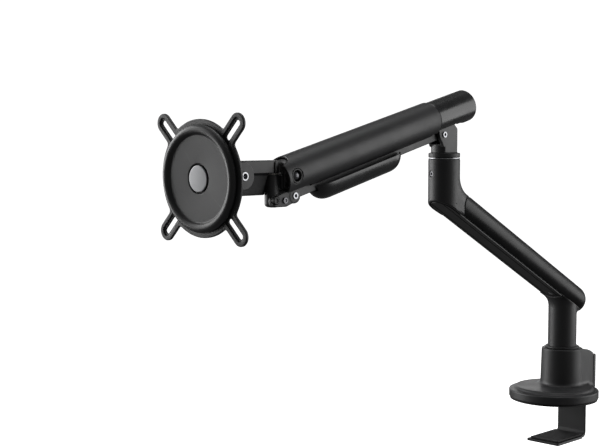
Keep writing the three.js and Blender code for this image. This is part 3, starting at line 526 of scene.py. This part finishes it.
# ---- lower arm -------------------------------------------------------------------------------
def arm_section(x, n):
    """Round above the axis, straight flanks and a flat underside below it."""
    below = both(np.abs(x) - ARM_R, -FLAT - n, 3.0)
    return np.where(n > 0, hyp(x, n) - ARM_R, below)


def cover_front(s, n, grow=0.0):
    """Negative behind the cover's front edge, which stands upright and is rounded at the top."""
    y = s * math.cos(DIAGONAL) + n * math.sin(DIAGONAL)
    a, b = np.broadcast_arrays(COVER_FRONT_Y - grow + FRONT_ROUND - y,
                               (n + FRONT_LOW) * FRONT_ROUND / FRONT_RISE)
    return hyp(np.maximum(a, 0), np.maximum(b, 0)) + np.minimum(np.maximum(a, b), 0) - FRONT_ROUND


def cover_shape(x, s, n):
    """The long cable cover in the diagonal's axes: a round back, an open underside and a ball end."""
    along = both(hyp(x, n) - ARM_R, 1.2 - FLAT - n, 1.0)
    ball = both(hyp(x, n, s - COVER_END) - ARM_R, 1.2 - FLAT - n, 1.0)
    return both(np.where(s > COVER_END, ball, along), cover_front(s, n), 1.2)


def underside_plan(x, s, inset):
    """The recess under the diagonal: straight sides, round at the elbow."""
    ahead = np.maximum(-(s + 266.6), 0) * 0.8
    return both(hyp(x, ahead) - (14.6 - inset), s + 17 + inset, 1.5)


def lower_arm_field(x, s, n):
    y = s * math.cos(DIAGONAL) + n * math.sin(DIAGONAL)
    z = DIAGONAL_Z - s * math.sin(DIAGONAL) + n * math.cos(DIAGONAL)
    post = both(both(hyp(x, y) - ARM_R, slab(z, 16.3, 150), 1.0), n + 6, 0.5)
    section = arm_section(x, n)
    bar = both(section, slab(s, -300, COVER_END), 0.6)
    nose = both(hyp(x, s - 17) - 13.6, n + 5, 0.6)
    barrel = both(hyp(x, y - ELBOW_Y) - ARM_R, z - ELBOW_TOP, 1.0)
    past_elbow = hyp(x, y - ELBOW_Y) - ARM_R
    bar = np.where(y < ELBOW_Y, np.maximum(section, past_elbow), bar)
    across = np.sqrt(np.maximum(1 - (x / ARM_R) ** 2, 0))
    upper = smin(barrel, bar, 0.3 + 16 * across)
    upper = np.where(y < ELBOW_Y, np.minimum(barrel, bar), upper)
    lower = np.minimum(smin(post, np.minimum(bar, both(nose, -FLAT - n, 0.5)), 0.3 + 13 * across), upper)
    under = np.minimum(-FLAT - n, hyp(x, y) - 32)
    lower = smax(lower, under, 1.6)
    open_above = np.where(s > -221, -5.0, cover_front(s, n, 0.7))
    lower = less(lower, both(open_above, 0.9 - FLAT - n, 0.3), r=0.6)
    core = brick(x, s, n, -13.4, 13.4, -256, 8, -12, 5.5, 0.6)
    body = np.minimum(lower, core)
    tray = both(underside_plan(x, s, 0), n + FLAT - 1.9, 0.3)
    bore = both(hyp(x, y - ELBOW_Y) - 12.3, 262 - z, 0.3)
    u = x * math.cos(SET_SCREW_TURN) + (y - ELBOW_Y) * math.sin(SET_SCREW_TURN)
    v = -x * math.sin(SET_SCREW_TURN) + (y - ELBOW_Y) * math.cos(SET_SCREW_TURN)
    hole = both(hyp(u, z - SET_SCREW_Z) - 3.3, v, 0.3)
    return less(body, tray, bore, hole, r=0.5)


def cover_field(x, s, n):
    inner = brick(x, s, n, -13.7, 13.7, -270, 14.3, -40, 5.8, 0.6)
    y = s * math.cos(DIAGONAL) + n * math.sin(DIAGONAL)
    post = both(hyp(x, y) - 17.8, n + 11, 0.4)
    return less(cover_shape(x, s, n), inner, post)


def strip_field(x, s, n):
    shape = both(underside_plan(x, s, 1.3), slab(n, -FLAT - 0.3, -FLAT + 1.6), 0.5)
    rib = np.abs(np.abs(x) - 8.2) - 0.7
    shape = both(shape, -both(rib, -0.9 + FLAT + n + 0.6, 0.2), 0.2)
    return less(shape, hyp(x, s + 24) - 3.2, r=0.4)


def lower_arm_pieces():
    ends = [(-310, -216, 0.8), (-216, -42, COARSE), (-42, 72, 0.9)]
    rows = [(-112, -15, 1.2), (-15, -8.5, 0.45), (-8.5, 19, 0.8), (19, 46, 1.0)]
    stand_for(cast("lower_arm_body", lower_arm_field, [(-18.6, 18.6, 0.8)], ends, rows, ON_DIAGONAL),
              "lower_arm_casting")
    stand_for(cast("lower_arm_cable_cover", cover_field, [(-18.4, 18.4, 0.8)],
                   [(-266, -216, 0.7), (-216, -30, COARSE), (-30, 41.5, 0.9)],
                   [(-13, -9, 0.45), (-9, 18.4, 0.8)], ON_DIAGONAL), "cable_cover", "cover_plastic")
    stand_for(cast("lower_arm_underside", strip_field, [(-14.6, 14.6, 0.5)],
                   [(-286, -258, 0.8), (-258, -32, COARSE), (-32, -16.4, 0.7)], [(-13.7, -10.3, 0.4)],
                   ON_DIAGONAL), "underside_cover")
    stand_for(turn("underside_cap_screw", [(0, -12.9), (2.7, -12.9, 0.7), (2.7, -11.2, 0.3), (0, -11.2)],
                   "Z", (0, -24, 0), ON_DIAGONAL, 40), "underside_screw")
    spin = Matrix.Translation((0, ELBOW_Y, SET_SCREW_Z)) @ Matrix.Rotation(SET_SCREW_TURN, 4, "Z")
    grub = [(0, 12.4), (3, 12.4), (3, 16.6, 0.5), (1.6, 16.6, 0.2), (1.4, 14.6, 0.1), (0, 14.6)]
    stand_for(turn("elbow_grub_screw", grub, "Y", (0, 0, 0), spin, 36), "elbow_set_screw", "dark_steel")
    stand_for(turn("elbow_bearing_upper", [(9.3, 288), (12, 288), (12, 299.7), (9.3, 299.7)], "Z",
                   (0, ELBOW_Y, 0)), "elbow_bush_upper")
    stand_for(turn("elbow_bearing_lower", [(9.3, 266), (12, 266), (12, 276), (9.3, 276)], "Z",
                   (0, ELBOW_Y, 0)), "elbow_bush_lower")
    washer = [(9.3, 300.9), (17.3, 300.9, 0.3), (17.3, 301.9, 0.3), (9.3, 301.9)]
    stand_for(turn("elbow_bright_washer", washer, "Z", (0, ELBOW_Y, 0)), "elbow_washer")


# ---- yoke ------------------------------------------------------------------------------------
def yoke_field(x, y, z):
    r = hyp(x, y - ELBOW_Y)
    flange = both(r - 17.4, slab(z, 302.4, 307.5), 1.0)
    spigot = both(r - 9, slab(z, 268, 304), 0.6)
    sides = slab(x, -10, 10)
    column = both(both(both(r - 15, sides, 0.8), y - (ELBOW_Y + 10.9), 0.8), slab(z, 304, 317), 1.8)
    plate = outline(y, z, [(-255, 314), (-230.4, 314), (-230.4, 334), (-250.5, 352.4), (-268.4, 345),
                           (REAR_Y - 8, REAR_Z)])
    lugs = smin(hyp(y - LIFT_Y, z - LIFT_Z) - 10, hyp(y - REAR_Y, z - REAR_Z) - 8, 4)
    ears = both(smin(plate, lugs, 2.5), sides, 0.7)
    body = smin(flange, np.minimum(column, ears), 1.6)
    body = np.minimum(body, spigot)
    gap = both(both(slab(x, -6.2, 6.2), 317 - z, 1.5), slab(y, -285, -238), 0.6)
    return less(body, gap, hyp(y - LIFT_Y, z - LIFT_Z) - 3.8, hyp(y - REAR_Y, z - REAR_Z) - LINK_PIN_BORE,
                both(hyp(y - LIFT_Y, z - LIFT_Z + ROLLER_DROP) - 1.6, np.abs(x) - 8.5, 0.2),
                both(r - 2.6, z - 282, 0.3), r=0.4)


def ring_pin(name, node, y, z):
    """A pin across the arm whose two ends have a ring round a recess."""
    half = [(0, 8.6), (1.5, 8.6, 0.2), (1.7, 11.2, 0.2), (3.4, 11.2, 0.4), (3.4, 10.0, 0.2), (2.6, 10.0, 0.1)]
    profile = half + [(r, -h, *rest) for r, h, *rest in reversed(half)]
    stand_for(turn(name, profile, "X", (0, y, z), sides=48), node)


def yoke_pieces():
    stand_for(cast("yoke_body", yoke_field, [(-18.2, 18.2, 0.6)], [(-270.5, -222.5, 0.6)],
                   [(266.8, 301.2, 1.2), (301.2, 358.6, 0.6)]), "yoke_casting")
    ring_pin("yoke_link_pin", "link_rear_pin", REAR_Y, REAR_Z)
    stand_for(turn("elbow_retaining_disc", [(2.7, 264), (11.6, 264), (11.6, 265.8), (2.7, 265.8)], "Z",
                   (0, ELBOW_Y, 0)), "elbow_retainer")
    screw = [(0, 262.3), (4.4, 262.3, 0.6), (4.4, 263.7), (2.4, 263.7), (2.4, 280), (0, 280)]
    stand_for(turn("elbow_retaining_screw", screw, "Z", (0, ELBOW_Y, 0), sides=40), "elbow_retainer_screw")
    roller = [(0, -8.3), (1.5, -8.3), (1.5, -5.8, 0.1), (2.5, -5.8), (2.5, 5.8), (1.5, 5.8, 0.1), (1.5, 8.3),
              (0, 8.3)]
    stand_for(turn("spring_bearing_roller", roller, "X", (0, LIFT_Y, LIFT_Z - ROLLER_DROP), sides=40),
              "spring_roller")


# ---- upper arm -------------------------------------------------------------------------------
def tube_field(x, s, n):
    r = hyp(x, n)
    pipe = both(both(r - TUBE_R, TUBE_BORE - r, 0.7), slab(s, -250, -12.3), 0.7)
    keyway = both(np.abs(x) - 6.8, n + 8, 0.5)
    yoke_notch = both(both(np.abs(x) - 10.6, n + 6, 0.5), -20 - s, 0.8)
    knuckle_notch = both(both(np.abs(x) - 11.8, n + 6, 0.5), s + 214, 0.8)
    round_end = hyp(x, np.maximum(s + 248, 0)) - 12.5
    top_notch = both(round_end, 8 - n, 0.5)
    pivot = hyp(s + PIVOTS, n) - 7.3
    return less(pipe, keyway, yoke_notch, knuckle_notch, top_notch, pivot, r=0.6)


def tail_field(x, s, n):
    outer = both(hyp(x, n) - TAIL_R, slab(s, -12, 54), 2.0)
    slot = both(both(slab(x, -10.4, 10.4), s - 43, 1.0), n - 12, 0.6)
    room = both(both(slab(x, -11.8, 11.8), s - 22, 1.0), n + 9, 0.6)
    pin = both(hyp(s, n) - 3.7, np.abs(x) - 15.3, 0.3)
    return less(outer, slot, room, pin, r=0.6)


def boat(x, s, n, shrink):
    """A trough with rounded ends. The field is zero at its surface, and no true distance elsewhere."""
    ahead = (np.maximum(-183 - s, 0) / (24 - shrink)) ** 1.4
    behind = (np.maximum(s + 93, 0) / (21 - shrink)) ** 1.4
    e = hyp(x / (15 - shrink), (n + 18) / (19.6 - shrink), ahead + behind)
    return (e - 1) * 15


def trough_field(x, s, n):
    shell = both(boat(x, s, n, 0), -boat(x, s, n, 1.8), 0.5)
    shell = both(shell, n + 19.6, 0.5)
    ends = both(both(slab(x, -7, 7), np.minimum(s + 190, -115 - s), 0.5), -25.2 - n, 0.5)
    return less(shell, ends, r=0.4)


def push_foot_field(x, s, n):
    disc = both(hyp(x, n) - 10, slab(s, -62, -57), 0.6)
    return np.minimum(disc, brick(x, s, n, -5.2, 5.2, -58, -4.7, -9.4, -5, 0.6))


def tension_field(x, s, n):
    disc = both(hyp(x, n) - 16.1, slab(s, -213, -203), 0.7)
    return less(disc, hyp(x, n - 2) - 3.3, both(np.abs(x) - 8, n + 9.2, 0.4))


def tube_pieces():
    stand_for(cast("upper_arm_tube", tube_field, [(-19.6, 19.6, 0.7)],
                   [(-251.2, -206, 0.7), (-206, -28, COARSE), (-28, -11.2, 0.7)], [(-19.6, 19.6, 0.7)],
                   ON_TUBE), "upper_tube")
    stand_for(cast("upper_arm_tail", tail_field, [(-18.7, 18.7, 0.8)], [(-13, 55, 0.8)], [(-18.7, 18.7, 0.8)],
                   ON_TUBE), "tail_housing")
    stand_for(cast("cable_channel", trough_field, [(-16, 16, 0.55)],
                   [(-208.5, -183, 0.7), (-183, -96, 2.4), (-96, -70.5, 0.7)], [(-38.8, -18.6, 0.55)],
                   ON_TUBE), "cable_trough")
    at = (0, -PIVOTS, 0)
    dome = [(0, 18.3), (2.3, 17.8, 1.4), (4.2, 16.4, 1.2), (5.2, 14.4, 0.6), (5.2, 13.9, 0.1),
            (4.0, 13.9, 0.1)]
    profile = dome + [(r, -h, *rest) for r, h, *rest in reversed(dome)]
    stand_for(turn("front_pivot_dome_pin", profile, "X", at, ON_TUBE, 64), "front_pivot_pin", "dark_steel")
    for node, sign in (("pivot_bush_near", 1), ("pivot_bush_far", -1)):
        bush = [(5.5, 14.4), (7.0, 14.4), (7.0, 18.2, 0.5), (5.5, 18.2, 0.5)]
        bush = [(r, sign * h, *rest) for r, h, *rest in bush]
        stand_for(turn(node + "_ring", bush, "X", at, ON_TUBE, 56), node)
    stand_for(turn("lift_pivot_pin", [(0, -15), (3.6, -15, 0.5), (3.6, 15, 0.5), (0, 15)], "X", (0, 0, 0),
                   ON_TUBE, 40), "lift_pin")
    up = (0, 0, 2)
    cylinder = [(0, 202), (10, 202, 1.5), (10, 97, 1.0), (4.2, 97, 0.4), (4.2, 119), (0, 119)]
    stand_for(turn("spring_cylinder", cylinder, "Y", up, ON_TUBE, 56), "gas_spring_cylinder")
    stand_for(turn("spring_piston_rod", [(0, 116), (4, 116), (4, 62.4), (0, 62.4)], "Y", up, ON_TUBE, 40),
              "gas_spring_rod")
    stand_for(cast("spring_push_foot", push_foot_field, [(-11, 11, 0.8)], [(-63, -3.6, 0.8)],
                   [(-11, 11, 0.7)], ON_TUBE), "push_foot")
    stand_for(cast("tension_carrier", tension_field, [(-17, 17, 0.8)], [(-214, -202, 0.7)], [(-17, 17, 0.8)],
                   ON_TUBE), "tension_block")
    adjuster = [(0, 202.5), (3.1, 202.5), (3.1, 218, 0.1), (5, 218), (5, 222, 0.6), (2.5, 222, 0.2),
                (2.3, 220, 0.1), (0, 220)]
    stand_for(turn("tension_adjuster", adjuster, "Y", up, ON_TUBE, 40), "tension_screw")


def link_field(x, s, n):
    bar = both(slab(s, -PIVOTS, 0), slab(n, -4.5, 4.5), 0.5)
    ends = np.minimum(hyp(s + PIVOTS, n) - 5.5, hyp(s, n) - 5.5)
    shape = both(smin(bar, ends, 1.5), np.abs(x) - 5.5, 1.1)
    return less(shape, hyp(s + PIVOTS, n) - 3, hyp(s, n) - 3)


# ---- knuckle, neck and tilt head -------------------------------------------------------------
def knuckle_field(x, y, z):
    dy, dz = y - KNUCKLE_Y, z - KNUCKLE_Z
    ball = both(hyp(x, dy, dz) - 15.9, np.abs(x) - 8.8, 1.0)
    ball = both(ball, slab(y, KNUCKLE_Y - 8.4, KNUCKLE_Y + 12), 1.0)
    trunnion = both(hyp(dy, dz) - 7.8, np.abs(x) - 13.4, 0.8)
    barrel = both(both(hyp(x, y - SWIVEL_Y) - SWIVEL_R, 258.5 - z, 3.6), z - 290, 0.7)
    web = brick(x, y, z, -5.8, 5.8, SWIVEL_Y, KNUCKLE_Y, 259.5, 289, 0.8)
    foot = outline(y, z, [(-513.4, 264.6), (-511.6, 262), (-497, 262), (-482.5, 267), (-483, 272),
                          (-496, 271)]) - 3.2
    foot = both(both(foot, np.abs(x) - 10, 1.2), -514.5 + np.maximum(4 - x, 0) * 0.8 - y, 3.5)
    boss = both(hyp(y - FRONT_Y, z - FRONT_Z) - 7.4, np.abs(x) - 10, 0.8)
    body = smin(smin(ball, trunnion, 1.5), smin(smin(barrel, web, 2.0), smin(foot, boss, 1.5), 1.2), 1.5)
    room = outline(y, z, [(-485, 262), (-470, 250), (-460, 290), (-476, 286), (-487, 275)])
    room = np.maximum(np.minimum(room, hyp(y - FRONT_Y, z - FRONT_Z) - 6.4), np.abs(x) - 6.2)
    plug = both(hyp(y - PLUG_Y, z - PLUG_Z) - 4, 6.4 - x, 0.3)
    return less(body, room, hyp(dy, dz) - 4.2, hyp(y - FRONT_Y, z - FRONT_Z) - LINK_PIN_BORE,
                both(hyp(x, y - SWIVEL_Y) - 4.3, 262.5 - z, 0.3),
                hyp(y - FRICTION_Y, z - FRICTION_Z) - 2.2, plug, r=0.4)


def neck_field(x, y, z):
    from_swivel = hyp(x, y - SWIVEL_Y)
    lug = both(from_swivel - 7.5, slab(z, 291, 303.5), 1.2)
    beam = brick(x, y, z, -7, 7, TILT_Y, SWIVEL_Y, 291, 303.5, 1.2)
    web = brick(x, y, z, -6.4, 6, TILT_Y, -513.4, 270.2, 292, 1.4)
    web = both(web, (x - 2.2 + (291 - z) * 0.25) * 0.97, 1.0)
    boss = both(hyp(y - TILT_Y, z - TILT_Z) - TILT_R, np.abs(x) - 7, 0.8)
    slit = both(both(slab(y, -510.7, -509.5), -1 - x, 0.2), z - 301.5, 0.2)
    body = less(np.minimum(lug, beam), slit, r=0.3)
    body = smin(body, smin(web, boss, 2.5), 2.5)
    return less(body, hyp(y - TILT_Y, z - TILT_Z) - TILT_BORE, both(from_swivel - 4.1, z - 301, 0.3), r=0.4)


def bracket_field(x, d, n):
    bridge = brick(x, d, n, -12.6, 12.6, -24, -14.6, -13, 13, 1.4)
    reach = np.minimum(hyp(d, n) - TILT_R, np.maximum(slab(d, -20, 0), np.abs(n) - TILT_R))
    ears = both(reach, slab(np.abs(x), 8.6, 12.6), 0.9)
    flange = both(hyp(x, n) - 16, slab(d, -27, -23), 0.8)
    return less(smin(np.minimum(bridge, ears), flange, 1.5), hyp(d, n) - TILT_BORE,
                both(hyp(x, n) - 5.1, slab(d, -40, -19), 0.3), r=0.4)


def head_pieces():
    stand_for(cast("knuckle_body", knuckle_field, [(-14.6, 14.6, 0.55)], [(-517.5, -471, 0.55)],
                   [(257.4, 305.6, 0.55)]), "knuckle_casting")
    ring_pin("knuckle_link_pin", "link_front_pin", FRONT_Y, FRONT_Z)
    pinch = [(0, -10.5), (2, -10.5), (2, 10.2, 0.1), (3.2, 10.2, 0.2), (3.2, 11.4, 0.5), (1.5, 11.4, 0.2),
             (1.3, 10.6, 0.1), (0, 10.6)]
    stand_for(turn("swivel_pinch_screw", pinch, "X", (0, FRICTION_Y, FRICTION_Z), sides=40),
              "swivel_friction_screw", "dark_steel")
    cap = [(0, 6.8), (3.7, 6.8), (3.7, 10.7, 0.8), (2.2, 10.7, 0.2), (1.9, 9.8, 0.2), (0, 9.8)]
    stand_for(turn("knuckle_cap_plug", cap, "X", (0, PLUG_Y, PLUG_Z), sides=40), "knuckle_plug")
    washer = [(4.3, 290.1), (6.8, 290.1, 0.2), (6.8, 290.7, 0.2), (4.3, 290.7)]
    stand_for(turn("swivel_thrust_washer", washer, "Z", (0, SWIVEL_Y, 0)), "swivel_washer")
    stand_for(turn("swivel_steel_pin", [(0, 262.8), (4, 262.8), (4, 300.7), (0, 300.7)], "Z",
                   (0, SWIVEL_Y, 0), sides=40), "swivel_pin")
    stand_for(cast("neck_body", neck_field, [(-8.6, 8.6, 0.5)], [(-569, -498.5, 0.6)], [(269, 304.8, 0.5)]),
              "neck_casting")
    stand_for(cast("tilt_head_bracket", bracket_field, [(-17, 17, 0.6)], [(-28.2, 14.2, 0.6)],
                   [(-17, 17, 0.6)], ON_PLATE), "tilt_bracket")
    for node, sign in (("friction_washer_near", 1), ("friction_washer_far", -1)):
        ring = [(4.2, sign * 7.2), (12.5, sign * 7.2), (12.5, sign * 8.4), (4.2, sign * 8.4)]
        stand_for(turn(node + "_ring", ring, "X", (0, 0, 0), ON_PLATE, 64), node, "black_plastic")
    bolt = [(0, -16.8), (5.6, -16.8, 0.6), (6.2, -15.8, 0.3), (6.2, -12.8, 0.3), (4, -12.8, 0.1),
            (4, 12.8, 0.1), (4.3, 12.8, 0.2), (4.3, 14.2, 0.5), (2.6, 14.2, 0.3), (2.3, 9.0, 0.1), (0, 9.0)]
    stand_for(turn("tilt_through_bolt", bolt, "X", (0, 0, 0), ON_PLATE, 64), "tilt_bolt")


# ---- screen plate ----------------------------------------------------------------------------
def ear_plate_field(x, d, n):
    disc = hyp(x, n) - PLATE_R
    a, b = np.abs(x), np.abs(n)
    along, across = (a + b) / math.sqrt(2), (a - b) / math.sqrt(2)
    ears = capsule(along, across, 30, SLOT_OUT, EAR_R)
    plan = smin(disc, ears, 3.5)
    sheet = both(plan, slab(d, PLATE_FACE, PLATE_BACK), 0.9)
    pocket = both(capsule(along, across, 50, SLOT_OUT, 4.9), d - (PLATE_FACE + 1.3), 0.5)
    slots = capsule(along, across, SLOT_IN, SLOT_OUT, SLOT_R)
    return less(sheet, hyp(x, n) - 8, pocket, slots, r=0.5)


def plate_pieces():
    stand_for(cast("slotted_plate", ear_plate_field, [(-60.4, 60.4, 0.7)], [(-43.6, -38.4, 0.5)],
                   [(-60.4, 60.4, 0.7)], ON_PLATE), "ear_plate")
    back = (0, PLATE_FACE - 0.3, 0)
    rim = [(13.5, 0, 0.1), (49.2, 0, 0.6), (49.2, 2.4, 1.4), (47.4, 4.6, 2.2), (44.6, 5.6, 2.2),
           (41.8, 4.6, 1.6), (40.2, 2.6, 0.7), (39.4, 2.2, 0.5), (14.3, 2.2, 0.5), (13.5, 1.5, 0.4)]
    stand_for(turn("face_dish", rim, "Y", back, ON_PLATE, 144), "dish")
    badge = [(0, 0.2), (12.3, 0.2), (12.3, 2.5, 0.5), (11.6, 2.8, 0.4), (0, 3.0)]
    stand_for(turn("centre_cap", badge, "Y", back, ON_PLATE, 96), "centre_disc")
    spindle = [(0, 39.2), (12, 39.2, 0.3), (12, 37, 0.3), (5, 37, 0.2), (5, 20), (0, 20)]
    stand_for(turn("turning_spindle", spindle, "Y", (0, 0, 0), ON_PLATE, 56), "rotation_spindle")
    hub = [(5.3, 36.7), (16, 36.7, 0.8), (16, 27.5, 0.8), (5.3, 27.5)]
    stand_for(turn("turning_hub", hub, "Y", (0, 0, 0), ON_PLATE, 72), "rotation_hub")


# ---- build -----------------------------------------------------------------------------------
base_pieces()
clamp_pieces()
lower_arm_pieces()
yoke_pieces()
tube_pieces()
stand_for(cast("parallel_link_bar", link_field, [(-6.4, 6.4, 0.7)],
               [(-245.5, -226, 0.7), (-226, -12, COARSE), (-12, 6.8, 0.7)], [(-6.6, 6.6, 0.7)], ON_LINK),
          "parallel_link")
head_pieces()
plate_pieces()

# ---- stage, light and camera -----------------------------------------------------------------
GROUND = -0.32
BACKDROP_RADIUS = 9.0
COVE = 2.0
COVE_STEPS = 12
WALL_TOP = 7.0
WORLD_STRENGTH = 0.13


def backdrop():
    """A pale floor that curves up all round, so that it has no horizon from any side."""
    profile = [(0.0, GROUND), (BACKDROP_RADIUS - COVE, GROUND)]
    for i in range(1, COVE_STEPS + 1):
        a = math.pi / 2 * i / COVE_STEPS
        profile.append((BACKDROP_RADIUS - COVE + COVE * math.sin(a), GROUND + COVE - COVE * math.cos(a)))
    profile.append((BACKDROP_RADIUS, WALL_TOP))
    verts, faces, sides = [], [], 96
    for i in range(sides):
        a = math.tau * i / sides
        verts += [(r * math.cos(a), r * math.sin(a), z) for r, z in profile]
    count = len(profile)
    for i in range(sides):
        j = (i + 1) % sides
        faces += [(i * count + k, j * count + k, j * count + k + 1, i * count + k + 1)
                  for k in range(count - 1)]
    mesh = bpy.data.meshes.new("pale_floor")
    mesh.from_pydata(verts, [], faces)
    floor = bpy.data.objects.new("pale_floor", mesh)
    bpy.context.scene.collection.objects.link(floor)
    weld(floor)
    material = bpy.data.materials.new("floor_paint")
    material.use_nodes = True
    shader = material.node_tree.nodes["Principled BSDF"]
    shader.inputs["Base Color"].default_value = (0.8, 0.8, 0.8, 1)
    shader.inputs["Emission Color"].default_value = (1, 1, 1, 1)
    shader.inputs["Emission Strength"].default_value = 1.0
    shader.inputs["Roughness"].default_value = 0.9
    shader.inputs["Specular IOR Level"].default_value = 0.1
    mesh.materials.append(material)
    floor.visible_glossy = floor.visible_diffuse = False


CENTRE = Vector((0.0, -0.28, 0.2))


def softbox(name, bearing, distance, height, width, tall, power):
    """A rectangular light that faces the arm. The bearing is in degrees, clockwise from the +Y axis."""
    light = bpy.data.lights.new(name, "AREA")
    light.shape = "RECTANGLE"
    light.size, light.size_y = width, tall
    light.energy = power
    lamp = bpy.data.objects.new(name, light)
    turn_to = math.radians(bearing)
    lamp.location = CENTRE + Vector((distance * math.sin(turn_to), distance * math.cos(turn_to), height))
    lamp.rotation_euler = (CENTRE - lamp.location).to_track_quat("-Z", "Y").to_euler()
    lamp.visible_camera = False
    bpy.context.scene.collection.objects.link(lamp)


backdrop()
world = bpy.data.worlds.new("studio")
bpy.context.scene.world = world
world.use_nodes = True
world.node_tree.nodes["Background"].inputs["Color"].default_value = (1, 1, 1, 1)
world.node_tree.nodes["Background"].inputs["Strength"].default_value = WORLD_STRENGTH
softbox("left_box", bearing=-112, distance=2.4, height=0.5, width=1.7, tall=2.2, power=64)
softbox("right_box", bearing=40, distance=2.4, height=0.4, width=2.6, tall=2.0, power=43)
softbox("top_box", bearing=-45, distance=0.2, height=2.4, width=1.6, tall=1.6, power=26)
softbox("back_box", bearing=-45, distance=4.0, height=0.8, width=2.4, tall=1.0, power=20)
bpy.context.scene.view_settings.view_transform = "Standard"

camera = bpy.data.cameras.new("camera")
camera.sensor_width = 36.0
camera.lens = 76.0
camera.clip_start, camera.clip_end = 0.05, 60
eye = bpy.data.objects.new("camera", camera)
eye.location = (0.8656, -1.3510, 0.3295)
eye.rotation_euler = (math.radians(85.881), 0, math.radians(44.443))
bpy.context.scene.collection.objects.link(eye)
bpy.context.scene.camera = eye
